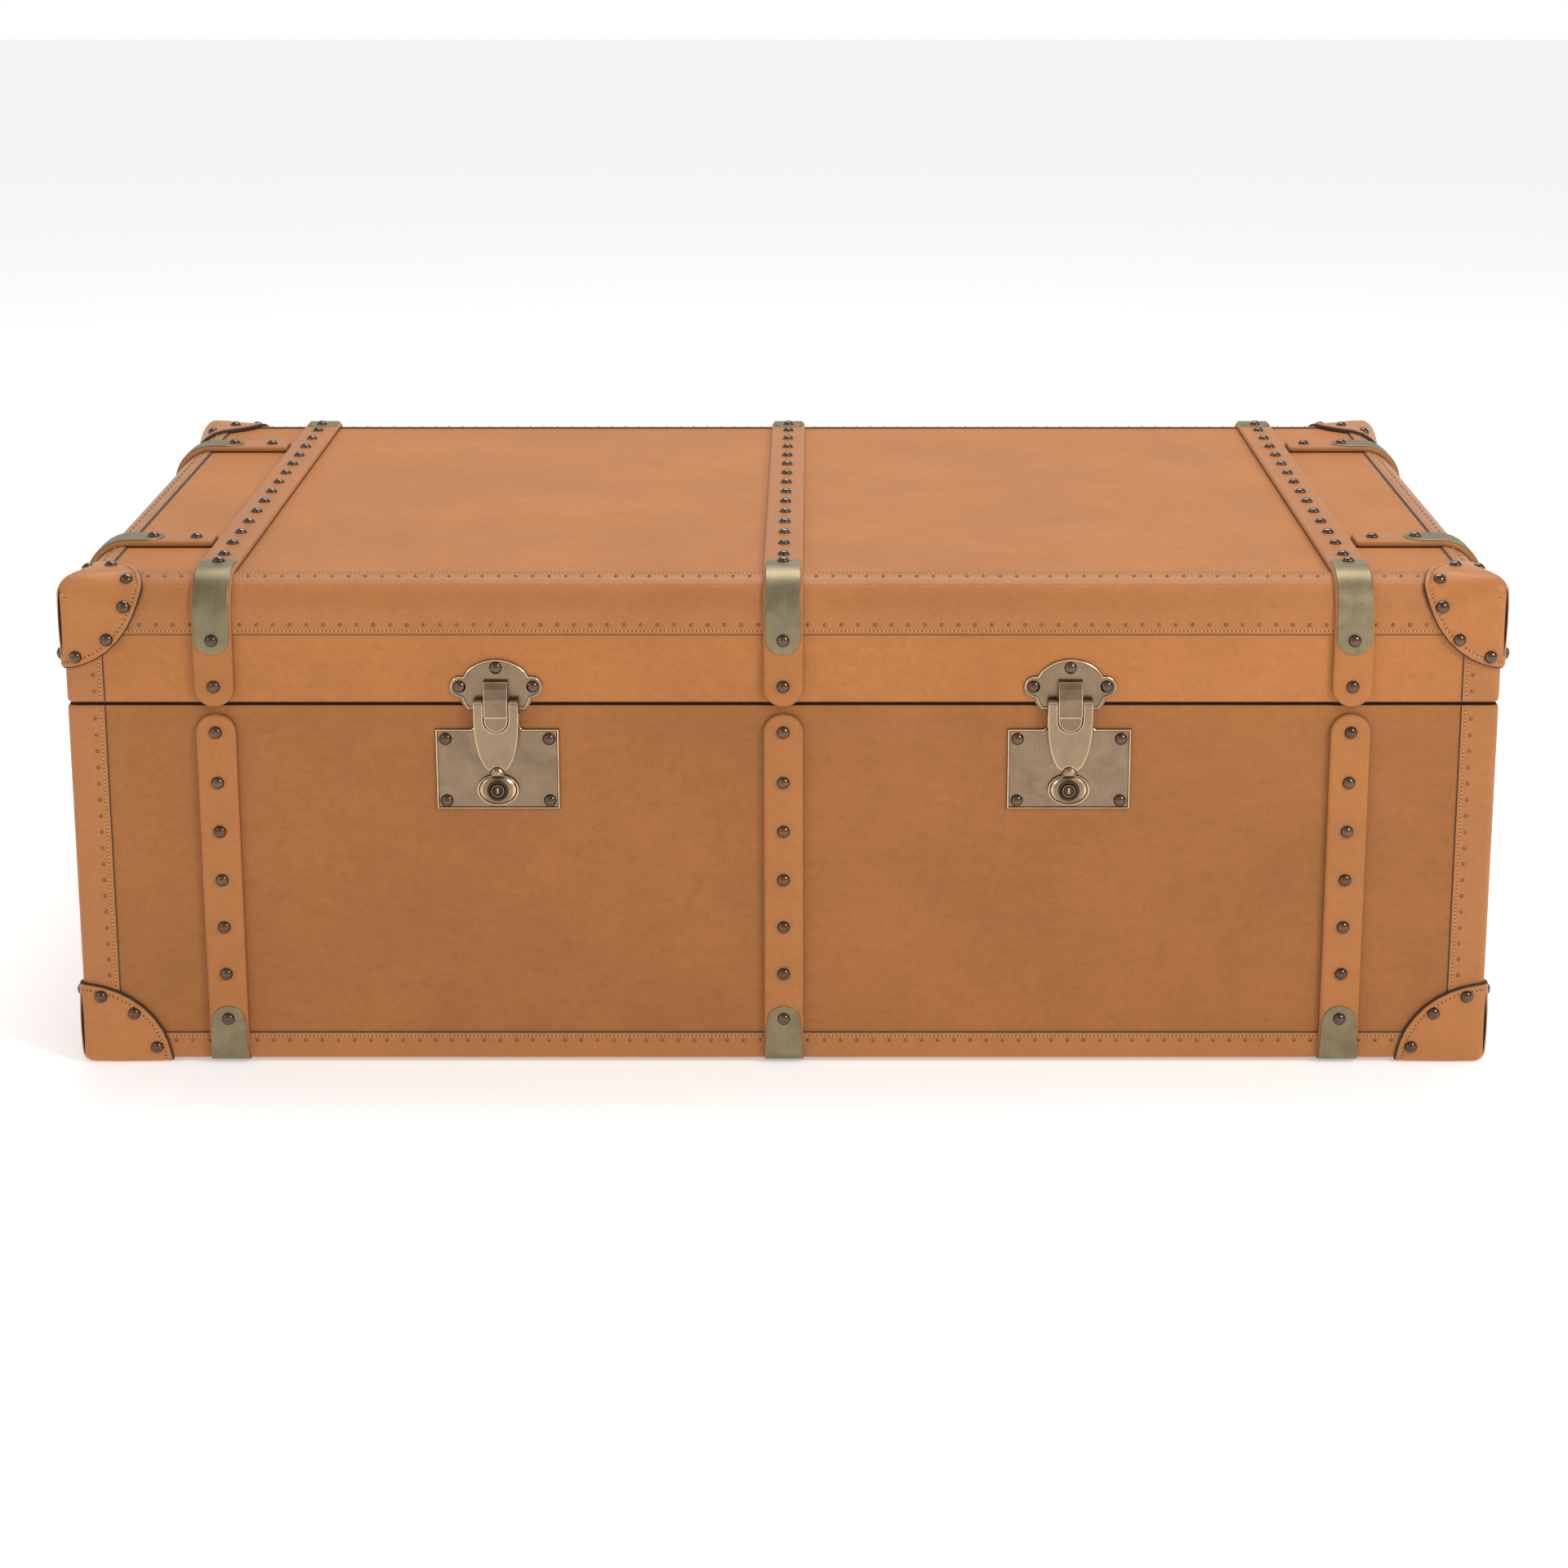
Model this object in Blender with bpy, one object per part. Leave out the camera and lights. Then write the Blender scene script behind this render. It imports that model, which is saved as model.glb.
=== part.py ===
"""Steamer trunk: leather-covered boards with edge bindings, corner caps and straps, a hinged lid
on two quadrant stays, two hasp locks with key plugs and two end handles.

Metres, +Z up, front towards -Y, standing on z = 0 under the centre. Each object is one piece.
A moving group hangs from an empty on its joint's axis.
"""

import math

import bmesh
import bpy
from mathutils import Matrix, Vector

# Body ------------------------------------------------------------------------------------------
BODY_LENGTH = 1.253  # over the boards, along X
BODY_DEPTH = 0.745  # over the boards, along Y
BASE_HEIGHT = 0.3284  # board underside to the base's rim
LID_HEIGHT = 0.1092  # lid's rim to its top
WALL = 0.014
FLOOR_BOARD = 0.012
TOP_BOARD = 0.014
LID_ROUND = 0.030  # radius of the lid's long moulded edges
RIM_REBATE_HEIGHT = 0.00135  # leaves a dark line round the parting
RIM_REBATE_DEPTH = 0.004
FIT = 0.0003  # gap between pieces that touch

# Leather ---------------------------------------------------------------------------------------
BINDING = 0.0015
BINDING_WIDTH = 0.032  # on each face of a vertical corner
BINDING_ROLL = 0.001  # how far the lid's binding runs past the round, on the top
BINDING_DROP = 0.047  # how far it comes down from the lid's top
FOOT_BINDING = 0.0246  # up the base's faces from the underside
CAP = 0.004
LID_CAP_REACH = (0.077, 0.080, 0.083)
BASE_CAP_REACH = (0.083, 0.080, 0.076)
STRAP_WIDTH = 0.035
STRAP = 0.005
STRAP_SPACING = 0.498
SIDE_STRAP_SPACING = 0.224
STRAP_OVERHANG = 0.0015  # how far a lid strap's end passes the lid's rim
STRAP_START = 0.0085  # base rim to the top of a base strap

# Rear hinge and stays --------------------------------------------------------------------------
HINGE_LENGTH = 1.10
HINGE_KNUCKLES = 9
HINGE_LEAF = 0.0015
HINGE_LEAF_HEIGHT = 0.014
HINGE_BARREL = 0.004  # radius
HINGE_PIN = 0.0016  # radius
HINGE_LEAF_START = 0.75 * HINGE_BARREL  # from the parting, clear of the other leaf's barrels
HINGE_WEB = (1.5 * HINGE_PIN, 1.5 * HINGE_LEAF_START)  # joins a barrel to its leaf, past the pin
HINGE_STAND_OFF = 0.0012  # barrel to back board
STRAP_TO_HINGE = 0.004
LID_OPENING = math.radians(78)
STAY_RADIUS = 0.250
STAY_WIDTH = 0.014
STAY = 0.0025
STAY_FROM_WALL = 0.005
STAY_PAD_ANGLES = (math.radians(5), math.radians(14))  # the arm ends with its pad
STAY_CLEARANCE = 0.0006
GUIDE_HEIGHT = 0.010
GUIDE_BELOW_RIM = 0.003
GUIDE_WALL = 0.0025
STAY_STOP = math.radians(2)

# Hasp locks ------------------------------------------------------------------------------------
LATCH_SPACING = 0.2515
PLATE = 0.002
STRIKE_TOP = 0.0406  # heights here are above the lid's rim
STRIKE_BOTTOM = -0.0048
STRIKE_HALF_FOOT = 0.0254
STRIKE_ARCH_HALF = 0.0255
STRIKE_ARCH_SPRING = 0.0300
STRIKE_LOBE = 0.0097
STRIKE_LOBE_X = 0.0310
STRIKE_LOBE_Z = 0.0156
STRIKE_LOBE_TURN = (-92, 104)  # degrees, from the foot round to the arch
STRIKE_SHOULDER = (0.0305, 0.001)  # where the foot's slope meets the lobe
KEEPER_WIDTH = 0.021
KEEPER_TOP = 0.0229
KEEPER_END = -0.0101
KEEPER_STEP = (0.00485, 0.002)  # its first step: out from the plate, down from its top
KEEPER_SHOULDER = 0.00776  # from its top down to where it is nearly full depth
KEEPER_PROUD = 0.0010  # over the hasp's ears
TONGUE_RECESS = 0.0013
TONGUE = 0.002
HASP_PIN = 0.0015  # radius
HASP_BARREL = 0.0045  # radius
HASP_BEHIND = 0.0005  # barrel to strike plate
HASP_AXIS = 0.0014  # above the lid's rim
HASP_HALF_WIDTH = 0.0195
HASP = 0.003
HASP_BEND = -0.0101
HASP_TIP = -0.0624
HASP_LEAN = 0.0035  # how far the tip lies back from the bend
HASP_CURVE = 2.4  # power of the blade's curve: 2 is an ellipse
HASP_CURVE_END = 0.985  # share of the curve that is used, so the tip has a width
HASP_SLOT_CLEARANCE = 0.001
HASP_SLOT_END = -0.0246
LIFT = 0.007  # finger lift's radius from the front
LIFT_PROUD = 0.005
LOCK_WIDTH = 0.109
LOCK_HEIGHT = 0.0735
LOCK_TOP = -0.0228
NECK_TOP = -0.0075
NECK_HALF_WIDTH = 0.020
NECK_FILLET = 0.004
OVAL_HALF = (0.0185, 0.0140)
OVAL = 0.004
OVAL_BELOW_LOCK_TOP = 0.0551
CYLINDER = 0.0095  # radius
CYLINDER_HEIGHT = 0.003
PLUG = 0.0043  # radius
PLUG_DEPTH = 0.0045
KEY_SLOT = (0.0016, 0.0052, 0.0020)

# End handles -----------------------------------------------------------------------------------
HANDLE_HEIGHT = 0.232
HANDLE_PLATE = (0.150, 0.044)
HANDLE_AXIS_OUT = 0.014  # from the side board
HANDLE_SPAN = 0.098
HANDLE_DROP = 0.044
HANDLE_BEND = 0.012
HANDLE_TURN = 0.005  # radius of the turn into a lug
HANDLE_ROD = 0.004  # radius
HANDLE_GRIP = 0.0100  # radius
HANDLE_GRIP_LENGTH = 0.070
LUG = (0.010, 0.018)
LUG_PAST_ROD = 0.003

# Worked out ------------------------------------------------------------------------------------
HALF_X = BODY_LENGTH / 2
HALF_Y = BODY_DEPTH / 2
BINDING_OUT = FIT + BINDING
CAP_IN = BINDING_OUT + FIT
CAP_OUT = CAP_IN + CAP
STRAP_IN = CAP_IN
STRAP_OUT = STRAP_IN + STRAP
UNDERSIDE = CAP_OUT
BASE_RIM = UNDERSIDE + BASE_HEIGHT
LID_RIM = BASE_RIM + FIT
LID_TOP = LID_RIM + LID_HEIGHT
PARTING = (BASE_RIM + LID_RIM) / 2
ROUND_START = LID_TOP - LID_ROUND
HINGE_Y = HALF_Y + HINGE_STAND_OFF + HINGE_BARREL
PLATE_OUT = FIT + PLATE
HASP_AXIS_OUT = PLATE_OUT + HASP_BEHIND + HASP_BARREL
HASP_FACE = HASP_AXIS_OUT + HASP_BARREL
CORNERS = ((-1, -1), (1, -1), (1, 1), (-1, 1))
SIDE_NAMES = {-1: "left", 1: "right"}
END_NAMES = {-1: "front", 1: "back"}
STRAPS = (("left", -STRAP_SPACING), ("middle", 0), ("right", STRAP_SPACING))

# Facets ----------------------------------------------------------------------------------------
ROUND_STEPS = 6  # a quarter turn of the lid's edge
END_STEPS = 8  # a half turn at a strap's or a slot's end
BEND_STEPS = 5  # a quarter turn of a bar
STAY_STEPS = 28
PIN_SIDES = 12
BAR_SIDES = 16
LOCK_SIDES = 24
BALL = (24, 12)  # round and from pole to pole, for the caps' edges
DOME = (16, 8)


# Materials -------------------------------------------------------------------------------------
def material(name, colour, roughness, metallic=0.0):
    made = bpy.data.materials.new(name)
    made.use_nodes = True
    made.diffuse_color = (*colour, 1)
    shader = made.node_tree.nodes["Principled BSDF"]
    shader.inputs["Base Color"].default_value = (*colour, 1)
    shader.inputs["Roughness"].default_value = roughness
    shader.inputs["Metallic"].default_value = metallic
    return made


# Shapes ----------------------------------------------------------------------------------------
def add_object(name, shape, surface=None):
    """The bmesh as an object of its own, with faces outwards."""
    bmesh.ops.recalc_face_normals(shape, faces=shape.faces)
    mesh = bpy.data.meshes.new(name)
    shape.to_mesh(mesh)
    shape.free()
    made = bpy.data.objects.new(name, mesh)
    bpy.context.scene.collection.objects.link(made)
    if surface:
        mesh.materials.append(surface)
    return made


def arc(centre, radius, start, end, steps):
    """Points from one angle to another, in degrees, both ends included."""
    points = []
    for step in range(steps + 1):
        angle = math.radians(start + (end - start) * step / steps)
        points.append((centre[0] + radius * math.cos(angle), centre[1] + radius * math.sin(angle)))
    return points


def prism(name, outline, start, end, place, surface=None):
    """The outline drawn from start to end. place(a, b, c) gives X, Y, Z of outline point a, b at c."""
    shape = bmesh.new()
    ends = [[shape.verts.new(place(a, b, c)) for a, b in outline] for c in (start, end)]
    shape.faces.new(ends[0])
    shape.faces.new(ends[1])
    for i in range(len(outline)):
        j = (i + 1) % len(outline)
        shape.faces.new((ends[0][i], ends[0][j], ends[1][j], ends[1][i]))
    return add_object(name, shape, surface)


def box(name, low, high, surface=None):
    outline = [(low[0], low[1]), (high[0], low[1]), (high[0], high[1]), (low[0], high[1])]
    return prism(name, outline, low[2], high[2], lambda x, y, z: (x, y, z), surface)


def cylinder(name, centre, radius, low, high, along, sides=BAR_SIDES, surface=None):
    """A round bar along one axis, between two places on it; centre gives the other two in order."""
    order = {
        "X": lambda a, b, c: (c, a, b),
        "Y": lambda a, b, c: (a, c, b),
        "Z": lambda a, b, c: (a, b, c),
    }
    outline = arc(centre, radius, 0, 360 - 360 / sides, sides - 1)
    return prism(name, outline, low, high, order[along], surface)


def boolean(target, tool, operation):
    step = target.modifiers.new(f"{operation.lower()} {tool.name}", "BOOLEAN")
    step.operation = operation
    step.object = tool
    tool.hide_render = True
    tool.display_type = "WIRE"


def cut(target, *tools):
    for tool in tools:
        boolean(target, tool, "DIFFERENCE")


def join(target, *tools):
    for tool in tools:
        boolean(target, tool, "UNION")


def keep(target, tool):
    boolean(target, tool, "INTERSECT")


def round_ends(target, at_end, radius, thickness):
    """Rounds the thickness edges whose two corners both pass at_end(point)."""
    shape = bmesh.new()
    shape.from_mesh(target.data)
    chosen = []
    for edge in shape.edges:
        if edge.calc_length() < 2 * thickness and all(at_end(vert.co) for vert in edge.verts):
            chosen.append(edge)
    bmesh.ops.bevel(shape, geom=chosen, offset=radius, segments=BEND_STEPS, profile=0.5, affect="EDGES")
    shape.to_mesh(target.data)
    shape.free()


def framed(name, outline, surface=None, solid=False):
    """A closed frame round the body: outline points are (distance in from the boards' faces, height).
    Its corners are mitred. A solid one is filled between its last point and its first."""
    shape = bmesh.new()
    rows = []
    for inset, height in outline:
        row = []
        for side, end in CORNERS:
            row.append(shape.verts.new((side * (HALF_X - inset), end * (HALF_Y - inset), height)))
        rows.append(row)
    last = len(rows) - 1 if solid else len(rows)
    for i in range(last):
        upper, lower = rows[i], rows[(i + 1) % len(rows)]
        for j in range(4):
            k = (j + 1) % 4
            shape.faces.new((upper[j], upper[k], lower[k], lower[j]))
    if solid:
        shape.faces.new(rows[0])
        shape.faces.new(rows[-1])
    return add_object(name, shape, surface)


def rail(name, outline, across, end, surface):
    """One mitred side of such a frame. across is 'X' for a front or back, 'Y' for a left or right."""
    half_length = HALF_X if across == "X" else HALF_Y
    face = HALF_Y if across == "X" else HALF_X
    shape = bmesh.new()
    ends = []
    for sign in (-1, 1):
        row = []
        for inset, height in outline:
            along = sign * (half_length - inset - FIT * (across == "Y"))
            out = end * (face - inset)
            place = (along, out, height) if across == "X" else (out, along, height)
            row.append(shape.verts.new(place))
        ends.append(row)
        shape.faces.new(row)
    for i in range(len(outline)):
        j = (i + 1) % len(outline)
        shape.faces.new((ends[0][i], ends[0][j], ends[1][j], ends[1][i]))
    return add_object(name, shape, surface)


# Boards ----------------------------------------------------------------------------------------
def base_boards(wood):
    wall = [
        (0, UNDERSIDE),
        (WALL, UNDERSIDE),
        (WALL, BASE_RIM),
        (RIM_REBATE_DEPTH, BASE_RIM),
        (RIM_REBATE_DEPTH, BASE_RIM - RIM_REBATE_HEIGHT),
        (0, BASE_RIM - RIM_REBATE_HEIGHT),
    ]
    for sign in (-1, 1):
        rail(f"base_{END_NAMES[sign]}_board", wall, "X", sign, wood)
        rail(f"base_{SIDE_NAMES[sign]}_board", wall, "Y", sign, wood)
    inner_x, inner_y = HALF_X - WALL - FIT, HALF_Y - WALL - FIT
    low = (-inner_x, -inner_y, UNDERSIDE)
    box("base_bottom_board", low, (inner_x, inner_y, UNDERSIDE + FLOOR_BOARD), wood)


def lid_round(grow, start=180, end=90):
    """The quarter round of the lid's edge, grown outwards, as (inset, height)."""
    return arc((LID_ROUND, ROUND_START), LID_ROUND + grow, start, end, ROUND_STEPS)


def lid_boards(wood):
    wall = [
        (RIM_REBATE_DEPTH, LID_RIM),
        (WALL, LID_RIM),
        (WALL, ROUND_START),
        (LID_ROUND, ROUND_START),
        *reversed(lid_round(0)),
        (0, LID_RIM + RIM_REBATE_HEIGHT),
        (RIM_REBATE_DEPTH, LID_RIM + RIM_REBATE_HEIGHT),
    ]
    pieces = []
    for sign in (-1, 1):
        pieces.append(rail(f"lid_{END_NAMES[sign]}_board", wall, "X", sign, wood))
        pieces.append(rail(f"lid_{SIDE_NAMES[sign]}_board", wall, "Y", sign, wood))
    inner_x, inner_y = HALF_X - LID_ROUND - FIT, HALF_Y - LID_ROUND - FIT
    low = (-inner_x, -inner_y, LID_TOP - TOP_BOARD)
    pieces.append(box("lid_top_board", low, (inner_x, inner_y, LID_TOP), wood))
    return pieces


# Leather ---------------------------------------------------------------------------------------
def corner_post(name, side, end, low, high):
    """An angle strip down one vertical corner, BINDING_WIDTH wide on both faces."""
    out, inner, reach = -BINDING_OUT, -FIT, BINDING_WIDTH
    outline = [(out, out), (reach, out), (reach, inner), (inner, inner), (inner, reach), (out, reach)]

    def place(a, b, c):
        return side * (HALF_X - a), end * (HALF_Y - b), c

    return prism(name, outline, low, high, place)


def bindings(leather):
    lower = LID_TOP - BINDING_DROP
    outer = [(-BINDING_OUT, lower), *lid_round(BINDING_OUT)]
    outer.append((LID_ROUND + BINDING_ROLL, LID_TOP + BINDING_OUT))
    inner = [(LID_ROUND + BINDING_ROLL, LID_TOP + FIT), *reversed(lid_round(FIT))]
    inner.append((-FIT, lower))
    lid = framed("lid_edge_binding", outer + inner, leather)
    under = UNDERSIDE - BINDING_OUT
    foot = [
        (-BINDING_OUT, under),
        (-BINDING_OUT, under + FOOT_BINDING),
        (-FIT, under + FOOT_BINDING),
        (-FIT, UNDERSIDE - FIT),
        (FOOT_BINDING, UNDERSIDE - FIT),
        (FOOT_BINDING, under),
    ]
    base = framed("base_edge_binding", foot, leather)
    for side, end in CORNERS:
        corner = f"{END_NAMES[end]}_{SIDE_NAMES[side]}"
        low = LID_RIM + RIM_REBATE_HEIGHT
        join(lid, corner_post(f"lid_post_{corner}", side, end, low, lower + 2 * BINDING))
        low = under + FOOT_BINDING - 2 * BINDING
        high = BASE_RIM - RIM_REBATE_HEIGHT
        join(base, corner_post(f"base_post_{corner}", side, end, low, high))
    return lid


def lid_form(name, grow):
    """The lid's outside, grown outwards, as a solid that starts below its caps."""
    low = LID_TOP - 2 * LID_CAP_REACH[2]
    return framed(name, [(-grow, low), *lid_round(grow)], solid=True)


def base_form(name, grow):
    high = UNDERSIDE + 2 * BASE_CAP_REACH[2]
    return framed(name, [(-grow, UNDERSIDE - grow), (-grow, high)], solid=True)


def ellipsoid(name, centre, reach):
    shape = bmesh.new()
    bmesh.ops.create_uvsphere(shape, u_segments=BALL[0], v_segments=BALL[1], radius=1)
    bmesh.ops.transform(shape, matrix=Matrix.LocRotScale(centre, None, reach), verts=shape.verts)
    return add_object(name, shape)


def caps(leather):
    lid_caps = []
    lid_inside, base_inside = lid_form("lid_cap_inside", CAP_IN), base_form("base_cap_inside", CAP_IN)
    for side, end in CORNERS:
        corner = f"{END_NAMES[end]}_{SIDE_NAMES[side]}"
        x, y = side * (HALF_X + CAP_OUT), end * (HALF_Y + CAP_OUT)
        lid = lid_form(f"lid_{corner}_cap", CAP_OUT)
        keep(lid, ellipsoid(f"lid_{corner}_reach", Vector((x, y, LID_TOP + CAP_OUT)), LID_CAP_REACH))
        cut(lid, lid_inside)
        base = base_form(f"base_{corner}_cap", CAP_OUT)
        keep(base, ellipsoid(f"base_{corner}_reach", Vector((x, y, 0)), BASE_CAP_REACH))
        cut(base, base_inside)
        for cap in (lid, base):
            cap.data.materials.append(leather)
        lid_caps.append(lid)
    return lid_caps


def strap_over(name, near_z, far, place, centre, leather):
    """A strap from near_z up a face and over the round. far is a list of (inset, height) that ends its
    outer side, and the same of its inner side."""
    outer = [(-STRAP_OUT, near_z), *lid_round(STRAP_OUT), *far[0]]
    inner = [*far[1], *reversed(lid_round(STRAP_IN)), (-STRAP_IN, near_z)]
    half = STRAP_WIDTH / 2
    made = prism(name, outer + inner, centre - half, centre + half, place, leather)
    round_ends(made, lambda point: abs(point.z - near_z) < FIT / 10, half - 4 * FIT, STRAP)
    return made


def lid_straps(leather):
    made = []
    near = LID_RIM - STRAP_OVERHANG
    hinge_top = PARTING + HINGE_LEAF_HEIGHT + STRAP_TO_HINGE
    for name, x in STRAPS:

        def across(inset, height, along):
            return along, inset - HALF_Y, height

        back = [(BODY_DEPTH - inset, height) for inset, height in reversed(lid_round(STRAP_OUT))]
        back.append((BODY_DEPTH + STRAP_OUT, hinge_top))
        under = [(BODY_DEPTH + STRAP_IN, hinge_top)]
        under += [(BODY_DEPTH - inset, height) for inset, height in lid_round(STRAP_IN)]
        made.append(strap_over(f"lid_strap_{name}", near, (back, under), across, x, leather))
    for side in (-1, 1):
        for end in (-1, 1):

            def along_side(inset, height, along, side=side):
                return side * (HALF_X - inset), along, height

            reach = HALF_X - STRAP_SPACING - STRAP_WIDTH / 2 - 10 * FIT
            inner_end = [(reach, LID_TOP + STRAP_OUT)], [(reach, LID_TOP + STRAP_IN)]
            name = f"lid_side_strap_{END_NAMES[end]}_{SIDE_NAMES[side]}"
            y = end * SIDE_STRAP_SPACING
            made.append(strap_over(name, near, inner_end, along_side, y, leather))
    return made


def base_straps(leather):
    top = BASE_RIM - STRAP_START
    hinge_bottom = PARTING - HINGE_LEAF_HEIGHT - STRAP_TO_HINGE
    half = STRAP_WIDTH / 2
    foot = [(-half, UNDERSIDE), (half, UNDERSIDE)]
    front = foot + arc((0, top - half), half, 0, 180, END_STEPS)
    back = foot + arc((0, hinge_bottom - half), half, 0, 180, END_STEPS)
    for name, x in STRAPS:
        for end, outline in ((-1, front), (1, back)):

            def place(a, b, c, x=x, end=end):
                return x + a, end * (HALF_Y + c), b

            title = f"base_{END_NAMES[end]}_strap_{name}"
            prism(title, outline, STRAP_IN, STRAP_OUT, place, leather)
    for side, end in CORNERS:

        def place_side(a, b, c, side=side, end=end):
            return side * (HALF_X + c), end * SIDE_STRAP_SPACING + a, b

        title = f"base_side_strap_{END_NAMES[end]}_{SIDE_NAMES[side]}"
        prism(title, front, STRAP_IN, STRAP_OUT, place_side, leather)


# Rear hinge ------------------------------------------------------------------------------------
def hinge(brass, steel):
    half = HINGE_LENGTH / 2
    pitch = HINGE_LENGTH / HINGE_KNUCKLES
    back = HALF_Y + FIT
    line = (HINGE_Y, PARTING)
    leaves = {}
    for name, sign, odd in (("hinge_base_leaf", -1, 0), ("hinge_lid_leaf", 1, 1)):
        heights = sorted((PARTING + sign * HINGE_LEAF_START, PARTING + sign * HINGE_LEAF_HEIGHT))
        low, high = (-half, back, heights[0]), (half, back + HINGE_LEAF, heights[1])
        leaf = box(name, low, high, brass)
        for knuckle in range(odd, HINGE_KNUCKLES, 2):
            start = -half + knuckle * pitch + FIT
            stop = start + pitch - 2 * FIT
            title = f"{name}_barrel_{knuckle}"
            barrel = cylinder(title, line, HINGE_BARREL, start, stop, "X", PIN_SIDES)
            heights = sorted(PARTING + sign * height for height in HINGE_WEB)
            low, high = (start, back, heights[0]), (stop, HINGE_Y - HINGE_PIN, heights[1])
            join(leaf, barrel, box(f"{name}_web_{knuckle}", low, high))
        past = half + WALL
        cut(leaf, cylinder(f"{name}_bore", line, HINGE_PIN + FIT, -past, past, "X", PIN_SIDES))
        leaves[name] = leaf
    cylinder("hinge_pin", line, HINGE_PIN, -half, half, "X", PIN_SIDES, steel)
    return leaves["hinge_lid_leaf"]


def stay_point(radius, angle):
    """Y and Z at an angle above the level line that runs forward from the hinge's axis."""
    return HINGE_Y - radius * math.cos(angle), PARTING + radius * math.sin(angle)


def sector(name, side, radii, angles, depths, steps, surface=None):
    """A curved bar round the hinge's axis; depths are measured in from the side wall's inner face."""
    turns = [angles[0] + (angles[1] - angles[0]) * step / steps for step in range(steps + 1)]
    outline = [stay_point(radii[1], turn) for turn in turns]
    outline += [stay_point(radii[0], turn) for turn in reversed(turns)]

    def place(y, z, depth):
        return side * (HALF_X - WALL - depth), y, z

    return prism(name, outline, *depths, place, surface)


def stays(brass):
    arms = []
    half = STAY_WIDTH / 2
    radii = (STAY_RADIUS - half, STAY_RADIUS + half)
    depths = (STAY_FROM_WALL, STAY_FROM_WALL + STAY)
    guide_drop = GUIDE_BELOW_RIM + GUIDE_HEIGHT
    guide_angle = math.asin((guide_drop + FIT) / STAY_RADIUS)
    stop_angle = -(guide_angle + LID_OPENING + FIT / STAY_RADIUS)
    front = HINGE_Y - STAY_RADIUS * math.cos(guide_angle)
    slack = half + STAY_CLEARANCE + STAY_RADIUS * (1 - math.cos(guide_angle))
    under_round = math.asin((ROUND_START - PARTING - STAY_CLEARANCE) / radii[1])
    pad_angles = (STAY_PAD_ANGLES[0], min(STAY_PAD_ANGLES[1], under_round))
    lug_angles = (stop_angle - STAY_STOP, stop_angle)
    for side in (-1, 1):
        name = SIDE_NAMES[side]
        sweep = (lug_angles[0], pad_angles[1])
        arm = sector(f"stay_arm_{name}", side, radii, sweep, depths, STAY_STEPS, brass)
        pad_depths = (FIT, STAY_FROM_WALL + STAY)
        join(arm, sector(f"stay_pad_{name}", side, radii, pad_angles, pad_depths, BEND_STEPS))
        lug_depths = (STAY_FROM_WALL, STAY_FROM_WALL + STAY + 2 * GUIDE_WALL)
        join(arm, sector(f"stay_lug_{name}", side, radii, lug_angles, lug_depths, 1))
        arms.append(arm)
        inner = STAY_FROM_WALL + STAY + STAY_CLEARANCE
        wall_x = HALF_X - WALL
        ends = sorted((side * (wall_x - FIT), side * (wall_x - inner - GUIDE_WALL)))
        low = (ends[0], front - slack - GUIDE_WALL, BASE_RIM - guide_drop)
        high = (ends[1], front + slack + GUIDE_WALL, BASE_RIM - GUIDE_BELOW_RIM)
        guide = box(f"stay_guide_{name}", low, high, brass)
        ends = sorted((side * (wall_x - STAY_FROM_WALL + STAY_CLEARANCE), side * (wall_x - inner)))
        low = (ends[0], front - slack, BASE_RIM - 2 * guide_drop)
        cut(guide, box(f"stay_slot_{name}", low, (ends[1], front + slack, BASE_RIM)))
    return arms


# Hasp locks ------------------------------------------------------------------------------------
def on_front(centre):
    """Puts an outline of (sideways, above the lid's rim) on the front, at a distance out from the boards."""
    return lambda a, b, out: (centre + a, -HALF_Y - out, LID_RIM + b)


def on_profile(centre):
    """Puts a profile of (out from the boards, above the lid's rim) at a distance sideways."""
    return lambda out, b, along: (centre + along, -HALF_Y - out, LID_RIM + b)


def strike_outline():
    rise = STRIKE_TOP - STRIKE_ARCH_SPRING
    arch = (STRIKE_ARCH_HALF**2 + rise**2) / (2 * rise)
    spring = math.degrees(math.asin(STRIKE_ARCH_HALF / arch))
    right = [
        (STRIKE_HALF_FOOT, STRIKE_BOTTOM),
        STRIKE_SHOULDER,
        *arc((STRIKE_LOBE_X, STRIKE_LOBE_Z), STRIKE_LOBE, *STRIKE_LOBE_TURN, END_STEPS),
        *arc((0, STRIKE_TOP - arch), arch, 90 - spring, 90, BEND_STEPS),
    ]
    left = [(-a, b) for a, b in reversed(right[:-1])]
    return right + left


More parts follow.
